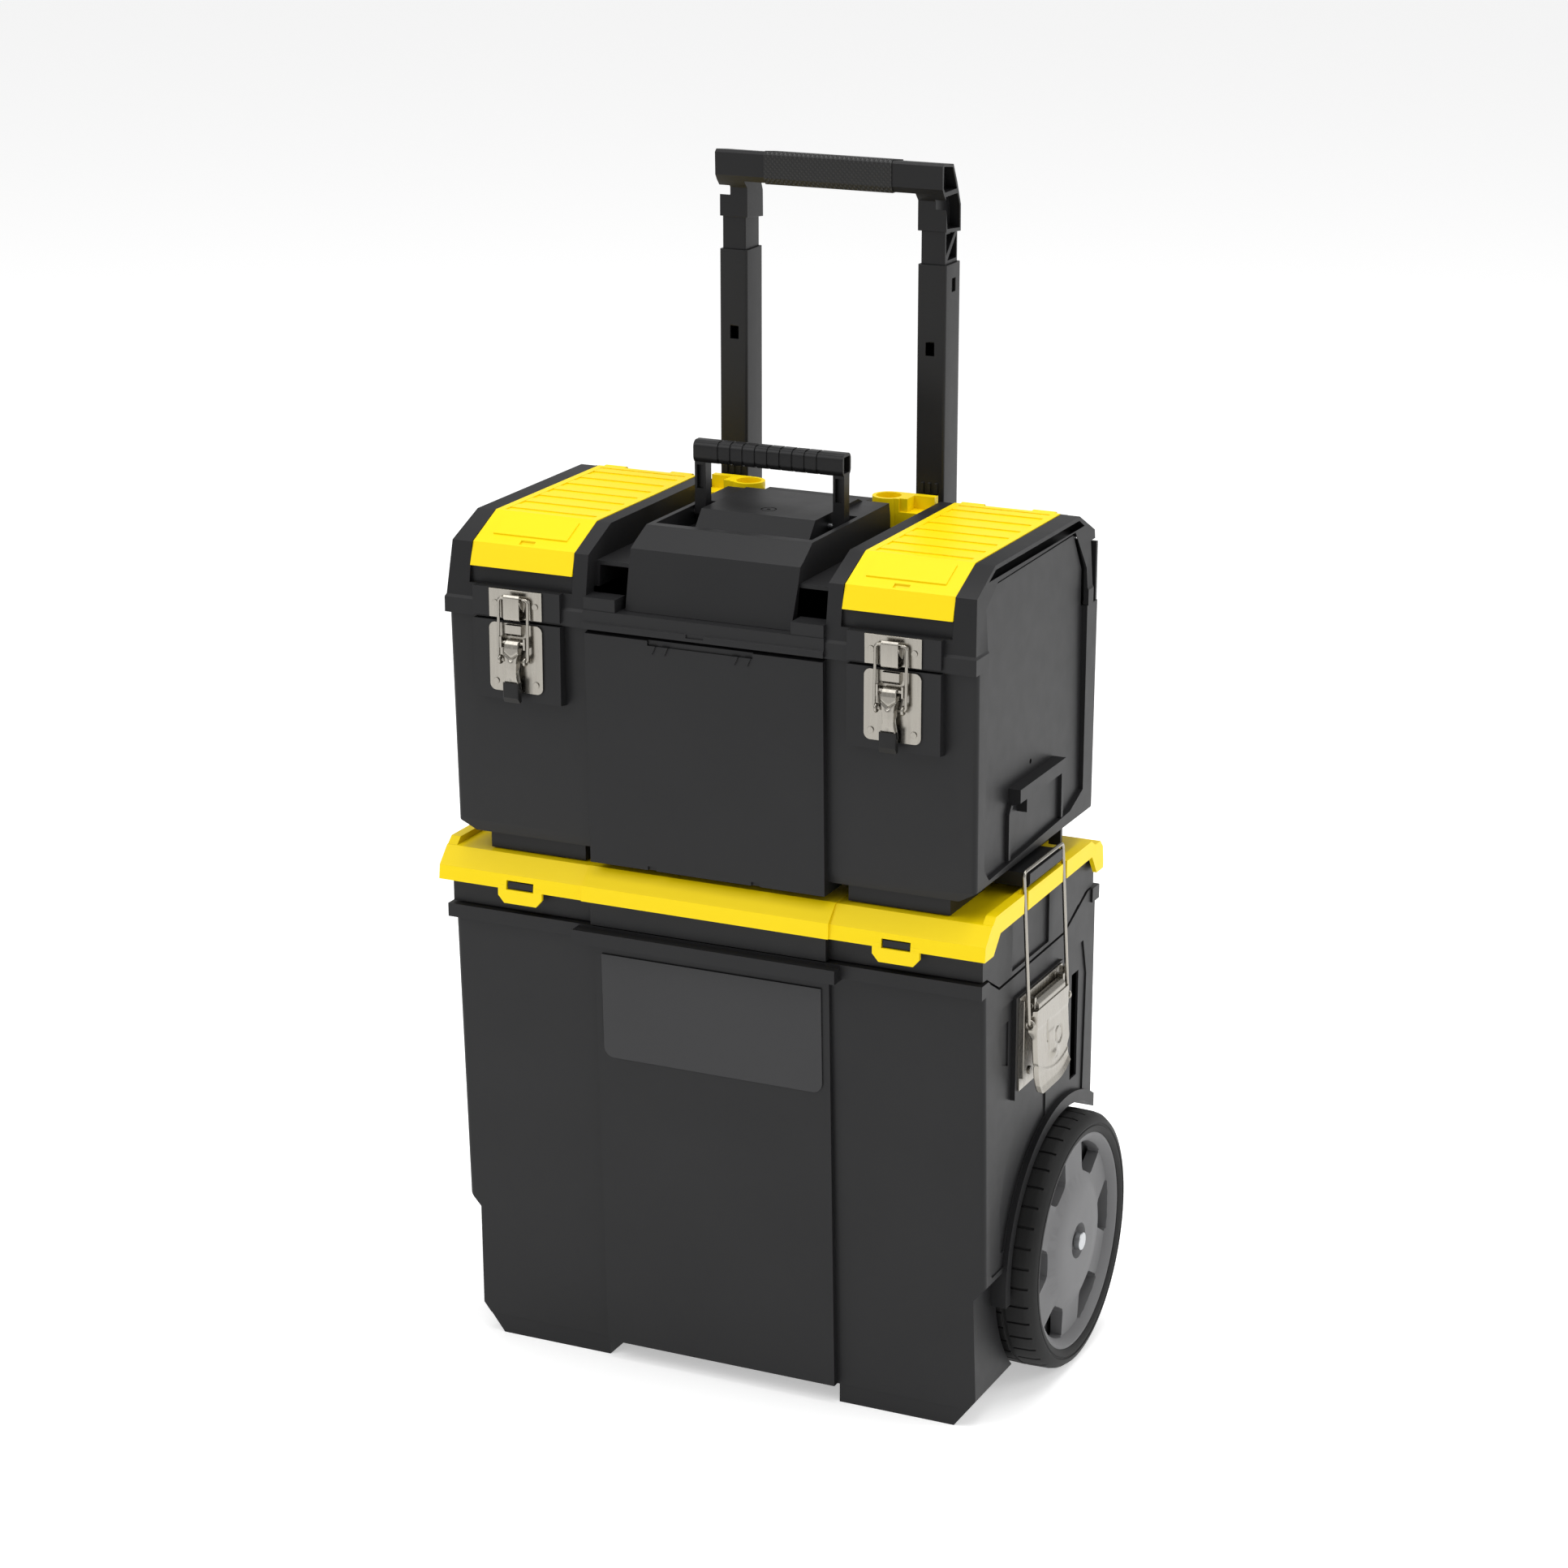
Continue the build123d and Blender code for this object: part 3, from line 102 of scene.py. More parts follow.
# %% [markdown]
# ## Moulded plastic
# The black, yellow and grey mouldings are polypropylene, shot into steel moulds with a fine spark
# grain. To the eye that is a satin surface: it is dark or bright by its pigment, with a soft wide
# highlight that wavers a little where the wall sank while it cooled. Three noises make that: a very
# large one for the slow waver, a middle one for faint flow marks in the gloss, and a fine one for the
# grain. The real grain is about 0.2 mm, too fine to show, so it is drawn 1.4 mm across and shallow.

# %% Moulded polypropylene
NOISE_RANGE = {"From Min": 0.3, "From Max": 0.7}        # where nearly all of a noise's values lie
POLYPROPYLENE_IOR = 1.49
GRAINED_SPECULAR = 0.22                                 # the grain breaks up some of the gloss


def two_tone(tree, hex_dark, hex_light, share):
    """Two close pigments mixed by a pattern."""
    return put(tree, "ShaderNodeMix",
               {"data_type": "RGBA", 6: linear(hex_dark), 7: linear(hex_light)}, {0: share})


def wavering_gloss(tree, noise, smoothest, roughest):
    """A roughness that follows a noise from its smoothest to its roughest."""
    return put(tree, "ShaderNodeMapRange", {"To Min": smoothest, "To Max": roughest, **NOISE_RANGE},
               {"Value": noise.outputs["Fac"]})


def colour_and_grain(tree, shader, pigment, bump):
    """Link a mixed pigment and a bump to the shader."""
    tree.links.new(pigment.outputs[2], shader.inputs["Base Color"])
    tree.links.new(bump.outputs["Normal"], shader.inputs["Normal"])


def moulded_plastic(name, hex_dark, hex_light, roughness, grain_mm=1.4, grain_deep_mm=0.008,
                    waver_deep_mm=0.06):
    """Satin moulded plastic: two close pigments, a wavering gloss and a shallow grain."""
    material, tree, shader, place = new_material(name)
    waver = put(tree, "ShaderNodeTexNoise", {"Scale": per_metre(90), "Detail": 1.0}, {"Vector": place})
    flow = put(tree, "ShaderNodeTexNoise", {"Scale": per_metre(14), "Detail": 3.0}, {"Vector": place})
    grain = put(tree, "ShaderNodeTexNoise", {"Scale": per_metre(grain_mm), "Detail": 2.0},
                {"Vector": place})
    pigment = two_tone(tree, hex_dark, hex_light, waver.outputs["Fac"])
    gloss = wavering_gloss(tree, flow, roughness - 0.015, roughness + 0.02)
    sink = put(tree, "ShaderNodeBump", {"Strength": 1.0, "Distance": waver_deep_mm * MM},
               {"Height": waver.outputs["Fac"]})
    bump = put(tree, "ShaderNodeBump", {"Strength": 1.0, "Distance": grain_deep_mm * MM},
               {"Height": grain.outputs["Fac"], "Normal": sink.outputs["Normal"]})
    shader.inputs["IOR"].default_value = POLYPROPYLENE_IOR
    shader.inputs["Specular IOR Level"].default_value = GRAINED_SPECULAR
    tree.links.new(gloss.outputs["Result"], shader.inputs["Roughness"])
    colour_and_grain(tree, shader, pigment, bump)
    return material


BLACK = moulded_plastic("moulded_black_polypropylene", "#1c1c1d", "#212122", 0.42)
YELLOW = moulded_plastic("moulded_yellow_polypropylene", "#efd000", "#f2d400", 0.40, waver_deep_mm=0.05)
GREY = moulded_plastic("moulded_grey_polypropylene", "#666667", "#6c6c6d", 0.48)
PLATE = moulded_plastic("moulded_label_plate", "#323233", "#353536", 0.36, grain_deep_mm=0.004)
HANDLE = moulded_plastic("moulded_black_handle_nylon", "#181819", "#1d1d1e", 0.34)
print("plastics:", BLACK.name, YELLOW.name, GREY.name, PLATE.name, HANDLE.name)

# %% [markdown]
# ## Tyre rubber, soft grip, plated steel and coated tube
# The tyre is a hard black rubber with a dull face. The soft grip and the latch tips are a rubbery
# elastomer, a little duller than the nylon round them. The latches are thin steel pressed in a die and
# bright nickel plated: a metal shows its colour in its reflections, so it is metallic, with a low
# roughness and faint die lines. The pull tubes are aluminium with a black coat.

# %% Rubber and metal
def rubber(name, hex_dark, hex_light, roughness):
    """Dull rubber: a mottled black with a fine matt grain."""
    material, tree, shader, place = new_material(name)
    mottle = put(tree, "ShaderNodeTexNoise", {"Scale": per_metre(22), "Detail": 4.0}, {"Vector": place})
    grain = put(tree, "ShaderNodeTexNoise", {"Scale": per_metre(1.2), "Detail": 2.0}, {"Vector": place})
    pigment = two_tone(tree, hex_dark, hex_light, mottle.outputs["Fac"])
    bump = put(tree, "ShaderNodeBump", {"Strength": 1.0, "Distance": 0.02 * MM},
               {"Height": grain.outputs["Fac"]})
    shader.inputs["Roughness"].default_value = roughness
    shader.inputs["IOR"].default_value = 1.52
    shader.inputs["Specular IOR Level"].default_value = 0.25
    colour_and_grain(tree, shader, pigment, bump)
    return material


def plated_steel(name, hex_colour, roughness, die_line_mm):
    """Bright plated steel: metallic, with faint die lines in its gloss."""
    material, tree, shader, place = new_material(name)
    stretched = put(tree, "ShaderNodeMapping", {"Scale": (1.0, 1.0, 0.08)}, {"Vector": place})
    lines = put(tree, "ShaderNodeTexNoise", {"Scale": per_metre(die_line_mm), "Detail": 3.0},
                {"Vector": stretched.outputs["Vector"]})
    gloss = wavering_gloss(tree, lines, roughness - 0.04, roughness + 0.08)
    bump = put(tree, "ShaderNodeBump", {"Strength": 0.6, "Distance": 0.015 * MM},
               {"Height": lines.outputs["Fac"]})
    shader.inputs["Base Color"].default_value = linear(hex_colour)
    shader.inputs["Metallic"].default_value = 1.0
    tree.links.new(gloss.outputs["Result"], shader.inputs["Roughness"])
    tree.links.new(bump.outputs["Normal"], shader.inputs["Normal"])
    return material


def knurled_rubber(name, hex_dark, hex_light, roughness, pitch_mm, deep_mm):
    """Rubber with two crossing sets of fine ridges, as rolled on by a knurling tool, darker in the
    grooves as painted shade and lighter on the ridge tops as a painted highlight.
    """
    material, tree, shader, place = new_material(name)
    waves_per_unit = 20 / math.tau              # a Wave texture of scale 1 has this many bands
    for_pitch = 1 / (pitch_mm * MM * waves_per_unit)
    ridges = []
    for turn in (-45, 45):
        turned = put(tree, "ShaderNodeMapping", {"Rotation": (0.0, math.radians(turn), 0.0)},
                     {"Vector": place})
        wave = put(tree, "ShaderNodeTexWave",
                   {"wave_type": "BANDS", "bands_direction": "X", "Scale": for_pitch},
                   {"Vector": turned.outputs["Vector"]})
        ridges.append(wave.outputs["Fac"])
    crossed = put(tree, "ShaderNodeMath", {"operation": "MULTIPLY"}, dict(enumerate(ridges)))
    # painted shade and painted highlight: the colour follows the ridge height, dark in the grooves and
    # light on the ridge tops
    pigment = two_tone(tree, hex_dark, hex_light, crossed.outputs["Value"])
    bump = put(tree, "ShaderNodeBump", {"Strength": 1.0, "Distance": deep_mm * MM},
               {"Height": crossed.outputs["Value"]})
    shader.inputs["Roughness"].default_value = roughness
    shader.inputs["Specular IOR Level"].default_value = 0.35
    colour_and_grain(tree, shader, pigment, bump)
    return material


RUBBER = rubber("vulcanised_tyre_rubber", "#121212", "#171717", 0.62)
SOFT = rubber("soft_grip_elastomer", "#141414", "#191919", 0.50)
# the knurled grip carries painted shade in its grooves and a painted highlight on its ridges
KNURLED_WITH_PAINTED_SHADE = knurled_rubber("knurled_grip_elastomer_painted_shade_and_highlight", "#121212", "#1f1f1f", 0.42, 2.6, 0.25)
NICKEL = plated_steel("nickel_plated_steel", "#9c9890", 0.24, 2.0)
ZINC = plated_steel("zinc_plated_steel", "#b9bbbd", 0.30, 1.5)
TUBE = moulded_plastic("black_coated_aluminium_tube", "#1b1b1c", "#1f1f20", 0.36, grain_deep_mm=0.005)
print("others:", RUBBER.name, SOFT.name, KNURLED_WITH_PAINTED_SHADE.name, NICKEL.name, ZINC.name, TUBE.name)

# %% [markdown]
# ## Dressing a CAD node
# A CAD edge is perfectly sharp, and a sharp edge catches no light, so it looks like a drawing. A real
# moulding has a small radius on every edge, and that thin bright line is most of what makes a black
# object readable. So each node is copied, its loose triangles are merged into clean faces, and a bevel
# modifier rounds every edge sharper than a limit. The bevel is live, so the mesh stays simple.

# %% Copy, merge and round a CAD node
RECORD = frame["record"]
BODY_OF = {node: body for body, nodes in RECORD["behaviour"]["bodies"].items() for node in nodes}
SAME_POINT = 2e-6                       # metres: the CAD repeats a corner for each of its faces
SLIVER = 1e-6                           # metres: an edge shorter than this is closed up
SAME_PLANE = math.radians(0.6)          # flatter joins than this are merged away
MANY_CORNERS = 4                        # a face with more is split where its outline turns inwards


def copy_of(node):
    """A bmesh of a CAD node, merged, with each flat region as a few faces, none of them hollow."""
    bm = bmesh.new()
    bm.from_mesh(frame["nodes"][node].data)
    bmesh.ops.remove_doubles(bm, verts=bm.verts, dist=SAME_POINT)
    bmesh.ops.dissolve_degenerate(bm, dist=SLIVER, edges=bm.edges)
    bmesh.ops.dissolve_limit(bm, angle_limit=SAME_PLANE, use_dissolve_boundaries=False,
                             verts=bm.verts, edges=bm.edges, delimit=set())
    large = [face for face in bm.faces if len(face.verts) > MANY_CORNERS]
    bmesh.ops.connect_verts_concave(bm, faces=large)
    return bm


def round_edges(piece, edge_mm, segments, limit_deg):
    """Add the Bevel modifier that rounds every edge sharper than a limit."""
    rounding = piece.modifiers.new("rounded_edges", "BEVEL")
    rounding.width = edge_mm * MM
    rounding.segments = segments
    rounding.limit_method = "ANGLE"
    rounding.angle_limit = math.radians(limit_deg)
    rounding.harden_normals = True
    return rounding


def to_piece(bm, name, node, material, edge_mm=0.6, segments=2, limit_deg=24):
    """Turn a bmesh into a finished piece that stands for a CAD node and rides on its body."""
    mesh = bpy.data.meshes.new(name)
    bm.to_mesh(mesh)
    bm.free()
    if "custom_normal" in mesh.attributes:
        mesh.attributes.remove(mesh.attributes["custom_normal"])
    mesh.materials.clear()
    mesh.materials.append(material)
    for polygon in mesh.polygons:
        polygon.material_index = 0
        polygon.use_smooth = True
    piece = bpy.data.objects.new(name, mesh)
    bpy.context.scene.collection.objects.link(piece)
    if edge_mm:
        round_edges(piece, edge_mm, segments, limit_deg).miter_outer = "MITER_ARC"
    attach(piece, BODY_OF[node])
    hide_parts(node)
    return piece


def dress(node, material, edge_mm=0.6, segments=2, limit_deg=24):
    """Copy a CAD node, round its edges and give it its material."""
    bm = copy_of(node)
    print(node, "faces:", len(bm.faces))
    return to_piece(bm, f"{node}_moulding", node, material, edge_mm, segments, limit_deg)


print("nodes that ride on the bin:", sum(body == "bin" for body in BODY_OF.values()))

# %% [markdown]
# ## Sheet metal and rubber that the CAD only blocks out
# The CAD gives each latch lever and each tyre its size and its place, but not the pressing or the
# tread. Those pieces are made again here. A pressed sheet starts as a flat grid, each of whose points
# is moved to where the press put it, and a Solidify modifier gives it the thickness of the steel. A
# bent strip starts as a few points joined by edges, which are extruded sideways and rounded at the
# bends. The left-hand pieces are the right-hand ones turned over, because the real pair is mirrored.

# %% Helpers for sheets and strips
SIDES = {"left": -1, "right": 1}        # each side, and the sign of its X
SAME_CORNER = 1e-6                      # metres: closes the seam of a full spin


def between(value, low, high):
    """0 below low, 1 above high, and a smooth rise from one to the other."""
    share = min(max((value - low) / (high - low), 0.0), 1.0)
    return share * share * (3 - 2 * share)


def within(value, rise, fall):
    """1 inside a range and 0 outside it, with a smooth rise and a smooth fall."""
    return between(value, *rise) * (1 - between(value, *fall))


def bump_at(distance, width):
    """A soft bump: 1 at no distance, falling away over a width."""
    return math.exp(-(distance / width) ** 2)


def along(stations, value):
    """Read a value off a list of (place, size) stations, in a straight line between them."""
    for (low, first), (high, second) in zip(stations, stations[1:]):
        if value <= high:
            break
    return first + (second - first) * (value - low) / (high - low)


def pressed_sheet(columns, rows, place_of):
    """A flat grid pressed to shape: place_of gives millimetres for s across and t up, each 0 to 1."""
    bm = bmesh.new()
    bmesh.ops.create_grid(bm, x_segments=columns, y_segments=rows, size=1.0)
    for vertex in bm.verts:
        vertex.co = Vector(place_of((vertex.co.x + 1) / 2, (vertex.co.y + 1) / 2)) * MM
    return bm


def push_out(bm, geom, move_mm):
    """Move the new vertices of an extrusion by a distance in millimetres."""
    far = [item for item in geom if isinstance(item, bmesh.types.BMVert)]
    bmesh.ops.translate(bm, vec=Vector(move_mm) * MM, verts=far)


def bent_strip(path, move_mm, bend_mm):
    """A strip that follows a few points, in millimetres, and is as wide as it is extruded."""
    bm = bmesh.new()
    points = [bm.verts.new(Vector(point) * MM) for point in path]
    edges = [bm.edges.new(pair) for pair in zip(points, points[1:])]
    push_out(bm, bmesh.ops.extrude_edge_only(bm, edges=edges)["geom"], move_mm)
    bends = [edge for edge in bm.edges if len(edge.link_faces) == 2]
    bmesh.ops.bevel(bm, geom=bends, offset=bend_mm * MM, segments=4, profile=0.5, affect="EDGES",
                    material=-1, clamp_overlap=True)
    return bm


def on_side(bm, side):
    """Turn a piece made for the right-hand side over to the left, if that is where it goes."""
    if side == "left":
        bmesh.ops.scale(bm, vec=(-1, 1, 1), verts=bm.verts)
        bmesh.ops.reverse_faces(bm, faces=bm.faces)
    return bm


def thicken(piece, thickness_mm, edge_mm=0.2):
    """Give a sheet its thickness, inwards, and round its rim."""
    steel = piece.modifiers.new("sheet_thickness", "SOLIDIFY")
    steel.thickness = thickness_mm * MM
    steel.offset = -1.0
    steel.use_even_offset = True
    round_edges(piece, edge_mm, 2, 50)


print("a bump half a width away:", round(bump_at(0.5, 1.0), 2))

# %% [markdown]
# ## Tyres
# A tyre is moulded in one piece, with thin cuts called sipes across its tread and a groove round the
# middle. A texture could only draw the cuts, and their outline shows against the floor, so they are
# real: the cross-section is spun round the axle in many steps, every eighth row of faces on the tread
# is inset, and its middle is sunk. The two halves of the tread are half a pitch apart, so that
# the wheel rolls quietly. The tyre stays a closed ring, which sits on the hub's rim.

# %% Tyres with a sipe tread
WHEEL_CENTRE = Vector((0, 43.0, 100.0))
TYRE_INNER, TYRE_OUTER = 185.5, 235.5           # its two sides, along X
TYRE_MIDDLE = (TYRE_INNER + TYRE_OUTER) / 2
TREAD_RADIUS = 98                               # the faces further out than this are the tread
TREAD_BAND = (1.7, 22)                          # how far from the middle the sipes start and end
SIPE_WIDTH, SIPE_DEPTH = 0.35, 1.3
SPIN_STEPS = 320
SIPE_EVERY = 8


def tyre_with_tread(side):
    """A moulded tyre: its section spun round the axle, then thin sipes sunk across the tread."""
    inner, outer, middle = TYRE_INNER, TYRE_OUTER, TYRE_MIDDLE
    section = [(inner + 2, 84), (inner + 0.3, 87), (inner, 91), (inner + 1.4, 96), (inner + 5, 98.8),
               (inner + 9, 99.6), (middle - 1.6, 100), (middle - 1.2, 98.6), (middle + 1.2, 98.6),
               (middle + 1.6, 100), (outer - 9, 99.6), (outer - 5, 98.8), (outer - 1.4, 96),
               (outer, 91.6), (outer - 0.9, 91), (outer - 0.9, 90), (outer - 0.1, 89.4),
               (outer - 0.3, 87), (outer - 2, 84)]
    bm = bmesh.new()
    points = [bm.verts.new(Vector((x, WHEEL_CENTRE.y, WHEEL_CENTRE.z + radius)) * MM)
              for x, radius in section]
    edges = [bm.edges.new((a, b)) for a, b in zip(points, points[1:] + points[:1])]
    bmesh.ops.spin(bm, geom=points + edges, cent=WHEEL_CENTRE * MM, axis=(1, 0, 0), dvec=(0, 0, 0),
                   angle=math.tau, steps=SPIN_STEPS, use_merge=True)
    bmesh.ops.remove_doubles(bm, verts=bm.verts, dist=SAME_CORNER)
    bmesh.ops.recalc_face_normals(bm, faces=bm.faces)
    sipes = []
    for face in bm.faces:
        centre = face.calc_center_median() / MM - WHEEL_CENTRE
        step = math.floor(math.atan2(centre.z, centre.y) / math.tau * SPIN_STEPS)
        on_tread = math.hypot(centre.y, centre.z) > TREAD_RADIUS
        in_band = TREAD_BAND[0] < abs(centre.x - middle) < TREAD_BAND[1]
        shifted = step + (SIPE_EVERY // 2 if centre.x < middle else 0)
        if on_tread and in_band and shifted % SIPE_EVERY == 0:
            sipes.append(face)
    bmesh.ops.inset_region(bm, faces=sipes, thickness=SIPE_WIDTH * MM, depth=-SIPE_DEPTH * MM,
                           use_even_offset=True)
    print("tyre", side, "sipes:", len(sipes), "faces:", len(bm.faces))
    return to_piece(on_side(bm, side), f"tyre_tread_{side}", f"tyre_{side}", RUBBER, 0.3, 1, 38)


for side in SIDES:
    tyre_with_tread(side)

# %% [markdown]
# ## Side latches
# The side latch's lever is one pressing: a flat field with a round button, a short slot and a thumb
# bulge, which turns outwards below a curved crease so that fingers can get behind it. Its two long
# edges are turned in, which is what makes thin steel stiff, and its top is rolled round the pivot pin.
# A press leaves soft slopes, which a grid moved by a few smooth bumps gives straight away, where cuts
# and extrusions would leave hard steps.

# %% Side latch levers
LEVER_FRONT, LEVER_BACK = -47.5, 20.5           # along Y
LEVER_LOW, LEVER_HIGH = 252.0, 316.4
LEVER_FACE = [(252.0, 234.6), (257.0, 232.9), (264.0, 231.7), (285.0, 230.2),
              (300.0, 229.6), (316.4, 229.3)]   # X of the face at each Z
SIDE_PIN = (224.0, 320.0)                       # X and Z of the pivot
ROLL_START, ROLL_WIDTH = -40.1, 53.2            # along Y, between the base plate's ears
ROLL_PATH = [(224.7, 323.1), (226.8, 322.7), (228.8, 320.2), (228.9, 315.8)]
SIDE_KNUCKLE_RADIUS = 3.2
SIDE_STEEL = 0.9                                # thickness of the sheet
SIDE_BAIL_EYE = (226.0, 307.0)                  # X and Z of the eyes of the wire


def side_lever_face(s, t):
    """Where the press puts a point of the lever's face."""
    z = LEVER_LOW + (LEVER_HIGH - LEVER_LOW) * t
    back = LEVER_BACK - 5.5 * (1 - between(z, 266, 275))            # narrower at the thumb end
    y = LEVER_FRONT + (back - LEVER_FRONT) * s
    x = along(LEVER_FACE, z)
    z += 9 * max(0.0, (s - 0.55) / 0.45) ** 2 * (1 - t) ** 3        # the cut corner at the back
    z += 3 * max(0.0, (0.12 - s) / 0.12) ** 2 * (1 - t) ** 4        # and the small one in front
    x -= 0.8 * bump_at(math.hypot(y + 2.0, z - 285.0) - 6.4, 0.95)                  # button's ring
    x -= 0.9 * bump_at(y + 24.5, 0.9) * within(z, (285, 287), (302, 304))           # short slot
    x += 0.5 * within(y, (-23.5, -22), (-11, -9.5)) * within(z, (277, 280), (292, 294))     # low field
    x += 1.9 * bump_at(math.hypot((y + 13) / 1.7, z - 273.5), 4.2)                  # thumb bulge
    x += 0.7 * bump_at(z - (263.5 + 8 * ((y + 11) / 31) ** 2), 1.3)                 # curved crease
    x += 0.35 * between(z, 300, 303)                                # step below the roll
    ear = within(z, (294, 301), (311, 314))                         # deeper where the bail hangs
    folded = (1 - between(y - LEVER_FRONT, 0.0, 2.4)) + (1 - between(back - y, 0.0, 2.4))
    x -= (2.6 + 3.4 * ear) * folded
    return x, y, z


def knuckle(name, node, side, start, turn, radius_mm, move_mm):
    """The rolled end of a sheet round its pivot pin: a circle drawn out along the pin."""
    bm = bmesh.new()
    stand = Matrix.Translation(Vector(start) * MM) @ Matrix.Rotation(math.radians(90), 4, turn)
    bmesh.ops.create_circle(bm, cap_ends=True, segments=20, radius=radius_mm * MM, matrix=stand)
    push_out(bm, bmesh.ops.extrude_face_region(bm, geom=bm.faces[:])["geom"], move_mm)
    bmesh.ops.recalc_face_normals(bm, faces=bm.faces)
    return to_piece(bm, f"{name}_{side}", node, NICKEL, 0.4, 2, 50)


for side, sign in SIDES.items():
    node = f"side_lever_{side}"
    sheet = on_side(pressed_sheet(96, 92, side_lever_face), side)
    face = to_piece(sheet, f"side_lever_face_{side}", node, NICKEL, 0)
    thicken(face, SIDE_STEEL)
    roll = bent_strip([(x, ROLL_START, z) for x, z in ROLL_PATH], (0, ROLL_WIDTH, 0), 1.0)
    if sum(f.normal.x for f in roll.faces) < 0:
        bmesh.ops.reverse_faces(roll, faces=roll.faces)
    roll_piece = to_piece(on_side(roll, side), f"side_lever_roll_{side}", node, NICKEL, 0)
    thicken(roll_piece, SIDE_STEEL)
    knuckle("side_lever_knuckle", node, side, (sign * SIDE_PIN[0], ROLL_START, SIDE_PIN[1]), "X",
            SIDE_KNUCKLE_RADIUS, (0, ROLL_WIDTH, 0))
    print("side lever", side, "faces:", len(face.data.polygons))

# %% [markdown]
# ## Front latches and the eyes of the wires
# Each front latch is the same idea, smaller. The lever is a narrow channel with a pressed V and a
# stiffening rib, and it waists in above its rubber tip. The strike plate above carries a bent tongue,
# and the wire bail reaches up on both sides of it. A wire is curled into an eye where it hangs on its
# lever: a small ring, made by spinning a circle. The straight runs of the wire are the CAD's own.

# %% Front latches and wire eyes
LATCH_MIDDLE = 150.2                            # along X, on the right-hand side
LEVER_PROFILE = [(541.0, -140.3), (545.5, -141.2), (555.0, -141.6), (566.0, -141.5), (571.0, -141.0),
                 (574.0, -140.2), (575.6, -139.0)]      # Y of the lever's face at each Z
LEVER_HALF = [(541.0, 6.0), (546.0, 6.1), (552.5, 5.0), (561.0, 5.5), (566.0, 6.6), (575.6, 6.6)]
FRONT_LOW, FRONT_HIGH = 541.0, 575.6            # along Z
FRONT_PIN = (-136.2, 574.0)                     # Y and Z of the pivot
KNUCKLE_HALF, FRONT_KNUCKLE_RADIUS = 5.7, 2.3
TONGUE_HALF = 6.6
TONGUE_PATH = [(-133.3, 591.0), (-138.2, 591.0), (-139.5, 592.8), (-139.6, 608.6), (-138.4, 610.4)]
FRONT_STEEL = 0.8
FRONT_EYE = (10.2, -137.6, 561.0)               # X from the latch's middle, Y and Z


def front_lever_face(s, t):
    """Where the press puts a point of a front lever."""
    z = FRONT_LOW + (FRONT_HIGH - FRONT_LOW) * t
    half = along(LEVER_HALF, z)
    across = half * (2 * s - 1)
    y = along(LEVER_PROFILE, z)
    y += 1.1 * bump_at(z - (562.8 + 0.75 * abs(across)), 0.9) * between(z, 558, 561)    # pressed V
    y -= 0.9 * bump_at(across, 1.9) * within(z, (546, 550), (560, 563))                 # rib
    pivot_ear = 2.2 * between(z, 567, 570) + 1.6 * within(z, (554, 557), (565, 567))
    y += (3.0 + pivot_ear) * (1 - between(half - abs(across), 0.0, 1.2))                # folded sides
    return LATCH_MIDDLE + across, y, z


def wire_eye(name, node, centre, axis, turn, ring_mm, wire_mm):
    """A small ring of wire: a circle spun round the eye's own axis."""
    bm = bmesh.new()
    middle = Vector(centre) * MM
    top = middle + Vector((0, 0, ring_mm * MM))
    start = Matrix.Translation(top) @ Matrix.Rotation(math.radians(90), 4, turn)
    bmesh.ops.create_circle(bm, cap_ends=False, segments=10, radius=wire_mm * MM, matrix=start)
    bmesh.ops.spin(bm, geom=bm.verts[:] + bm.edges[:], cent=middle, axis=axis, dvec=(0, 0, 0),
                   angle=math.tau, steps=22, use_merge=True)
    bmesh.ops.remove_doubles(bm, verts=bm.verts, dist=SAME_CORNER)
    bmesh.ops.recalc_face_normals(bm, faces=bm.faces)
    return to_piece(bm, name, node, NICKEL, 0)


for side, sign in SIDES.items():
    node, bail = f"latch_lever_{side}", f"latch_bail_{side}"
    sheet = on_side(pressed_sheet(40, 72, front_lever_face), side)
    lever = to_piece(sheet, f"latch_lever_face_{side}", node, NICKEL, 0)
    thicken(lever, FRONT_STEEL)
    knuckle("latch_lever_knuckle", node, side, (sign * (LATCH_MIDDLE - KNUCKLE_HALF), *FRONT_PIN), "Y",
            FRONT_KNUCKLE_RADIUS, (sign * 2 * KNUCKLE_HALF, 0, 0))
    tongue = bent_strip([(LATCH_MIDDLE - TONGUE_HALF, y, z) for y, z in TONGUE_PATH],
                        (2 * TONGUE_HALF, 0, 0), 0.8)
    if sum(face.normal.y for face in tongue.faces) > 0:
        bmesh.ops.reverse_faces(tongue, faces=tongue.faces)
    tongue_piece = to_piece(on_side(tongue, side), f"strike_tongue_{side}", f"strike_plate_{side}",
                            NICKEL, 0)
    thicken(tongue_piece, FRONT_STEEL)
    off, y, z = FRONT_EYE
    for end, x in (("inner", LATCH_MIDDLE - off), ("outer", LATCH_MIDDLE + off)):
        wire_eye(f"latch_bail_eye_{end}_{side}", bail, (sign * x, y, z), (1, 0, 0), "X", 2.5, 1.1)
    eye_x, eye_z = SIDE_BAIL_EYE
    for end, y in (("front", -50.0), ("back", 23.0)):
        wire_eye(f"side_bail_eye_{end}_{side}", f"side_bail_{side}", (sign * eye_x, y, eye_z),
                 (0, 1, 0), "Y", 3.0, 1.3)
    print("front latch", side, "faces:", len(lever.data.polygons))

# %% [markdown]
# ## Every other piece
# The rest of the mouldings, pins, plates and tubes have their true shape in the CAD, so they need only
# rounded edges and a finish. A real edge radius depends on the piece: about 1 mm on the large
# mouldings, a few tenths on pressed plates and rivets, none on drawn wire, which is already round. Two
# tables of node, finish and radius say this in one place, one for single pieces and one for pairs,
# and a loop follows each.

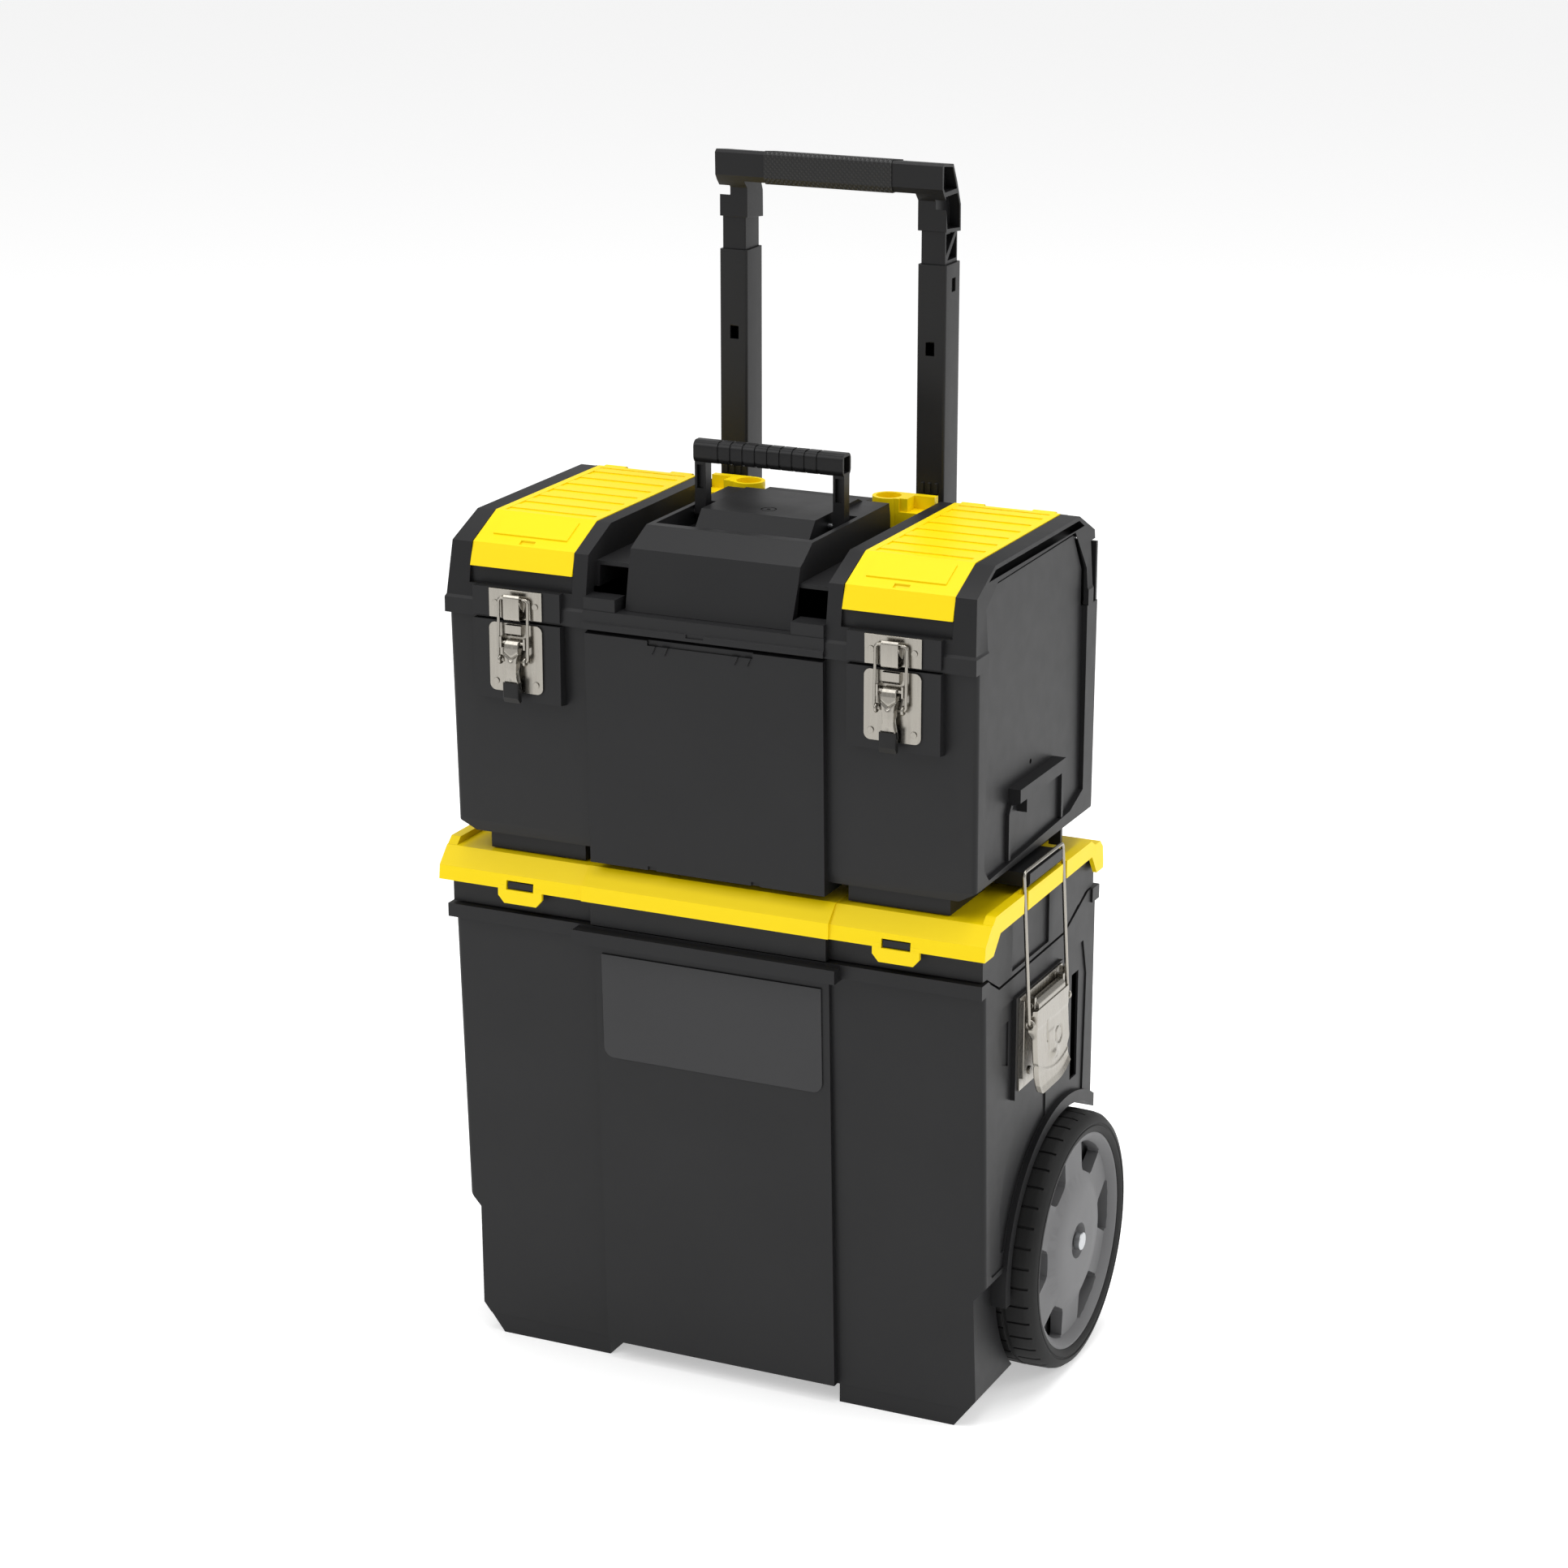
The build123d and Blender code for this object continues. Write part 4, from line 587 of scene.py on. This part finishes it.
# %% Dress every node
SINGLE = [("bin_body", BLACK, 0.9), ("mid_tub", BLACK, 0.9), ("top_box_body", BLACK, 0.9),
          ("top_lid", BLACK, 0.9), ("mid_lid", YELLOW, 1.0), ("label_plate", PLATE, 0.3),
          ("wheel_axle", ZINC, 0.5), ("axle_caps", ZINC, 0.8), ("guide_screws", ZINC, 0.2),
          ("side_latch_pins", NICKEL, 0.3), ("side_latch_rivets", NICKEL, 0.3),
          ("lid_hinge_pins", ZINC, 0.3), ("latch_pins", NICKEL, 0.2), ("latch_rivets", NICKEL, 0.2),
          ("strike_rivets", NICKEL, 0.2), ("carry_handle_pins", ZINC, 0.2),
          ("carry_handle", HANDLE, 0.6), ("organizer_pins", ZINC, 0.2), ("handle_grip", HANDLE, 0.8),
          ("handle_sleeve", KNURLED_WITH_PAINTED_SHADE, 0.5)]
PAIRS = [("wheel_hub", GREY, 0.8), ("handle_guide", BLACK, 0.25), ("side_latch_plate", NICKEL, 0.4),
         ("side_bail", NICKEL, 0), ("handle_clip", YELLOW, 0.5), ("latch_plate", NICKEL, 0.5),
         ("lever_tip", SOFT, 0.4), ("latch_bail", NICKEL, 0), ("strike_plate", NICKEL, 0.5),
         ("organizer_lid", YELLOW, 1.0), ("handle_tube", TUBE, 0.3), ("tube_plug", BLACK, 0.3)]
for node, material, edge_mm in SINGLE:
    dress(node, material, edge_mm)
dress("centre_cover", BLACK, 1.3, 3)            # the softest edges on the object
for side in SIDES:
    for node, material, edge_mm in PAIRS:
        dress(f"{node}_{side}", material, edge_mm)

# %% [markdown]
# ## Floor and light
# The box stands on a plain pale floor, wide enough to reach past every view from above. A large floor
# falls dark far from the lights, so it glows a little. A large soft light above and in front on the
# left gives the broad sheen on the black panels, a second on the right fills the shaded side, and a
# third from above draws the top edges. Small lamps would be simpler, but leave hard spots on the gloss.

# %% Floor
FLOOR_HALF = 40.0                       # metres
FLOOR_GLOW = 0.43                       # keeps the far floor as white as the near floor


def pale_floor():
    """A flat pale floor, wide enough to fill the view behind the object."""
    bm = bmesh.new()
    bmesh.ops.create_grid(bm, x_segments=8, y_segments=8, size=FLOOR_HALF)
    mesh = bpy.data.meshes.new("pale_floor")
    bm.to_mesh(mesh)
    bm.free()
    floor = bpy.data.objects.new("pale_floor", mesh)
    bpy.context.scene.collection.objects.link(floor)
    material, _, shader, _ = new_material("pale_studio_floor")
    shader.inputs["Base Color"].default_value = linear("#ececec")
    shader.inputs["Roughness"].default_value = 0.95
    shader.inputs["Specular IOR Level"].default_value = 0.1
    shader.inputs["Emission Color"].default_value = (1, 1, 1, 1)
    shader.inputs["Emission Strength"].default_value = FLOOR_GLOW
    mesh.materials.append(material)
    print("floor:", 2 * FLOOR_HALF, "m across")


pale_floor()

# %% Lights and surroundings
def facing(place, aim):
    """The rotation that turns a lamp or a camera at place to look at aim."""
    return (aim - place).to_track_quat("-Z", "Y").to_euler()


def soft_light(name, place, aim, size, power):
    """A large square area light at place, facing aim."""
    data = bpy.data.lights.new(name, "AREA")
    data.size = size
    data.energy = power
    light = bpy.data.objects.new(name, data)
    light.location = place
    light.rotation_euler = facing(Vector(place), Vector(aim))
    bpy.context.scene.collection.objects.link(light)
    print(name, power, "W")


soft_light("key_front_left", (-2.4, -2.6, 3.4), (0, 0, 0.45), 2.6, 62)
soft_light("fill_right", (3.4, 0.8, 2.2), (0, 0, 0.6), 2.0, 40)
soft_light("top_soft", (0.2, 0.2, 3.6), (0, 0, 0.4), 2.4, 75)

world = bpy.data.worlds.new("white_studio")
world.use_nodes = True
bpy.context.scene.world = world
background = world.node_tree.nodes["Background"]
background.inputs["Color"].default_value = (1, 1, 1, 1)
background.inputs["Strength"].default_value = 0.55

# %% [markdown]
# ## Camera
# A long lens from about three metres away keeps the upright edges almost parallel, where a short lens
# close by would make them lean. The camera stands to the right and looks down, so the front, the right
# side and the lids all show.

# %% Camera
AIM = Vector((-0.0007, 0.010, 0.4447))
camera_data = bpy.data.cameras.new("camera")
camera_data.lens = 90
camera_data.sensor_width = 36
camera = bpy.data.objects.new("camera", camera_data)
camera.location = (1.201, -2.555, 1.327)
camera.rotation_euler = facing(camera.location, AIM)
bpy.context.scene.collection.objects.link(camera)
bpy.context.scene.camera = camera
bpy.context.scene.view_settings.view_transform = "Standard"     # keeps hex colours as they are written
print("camera looks at:", tuple(AIM))
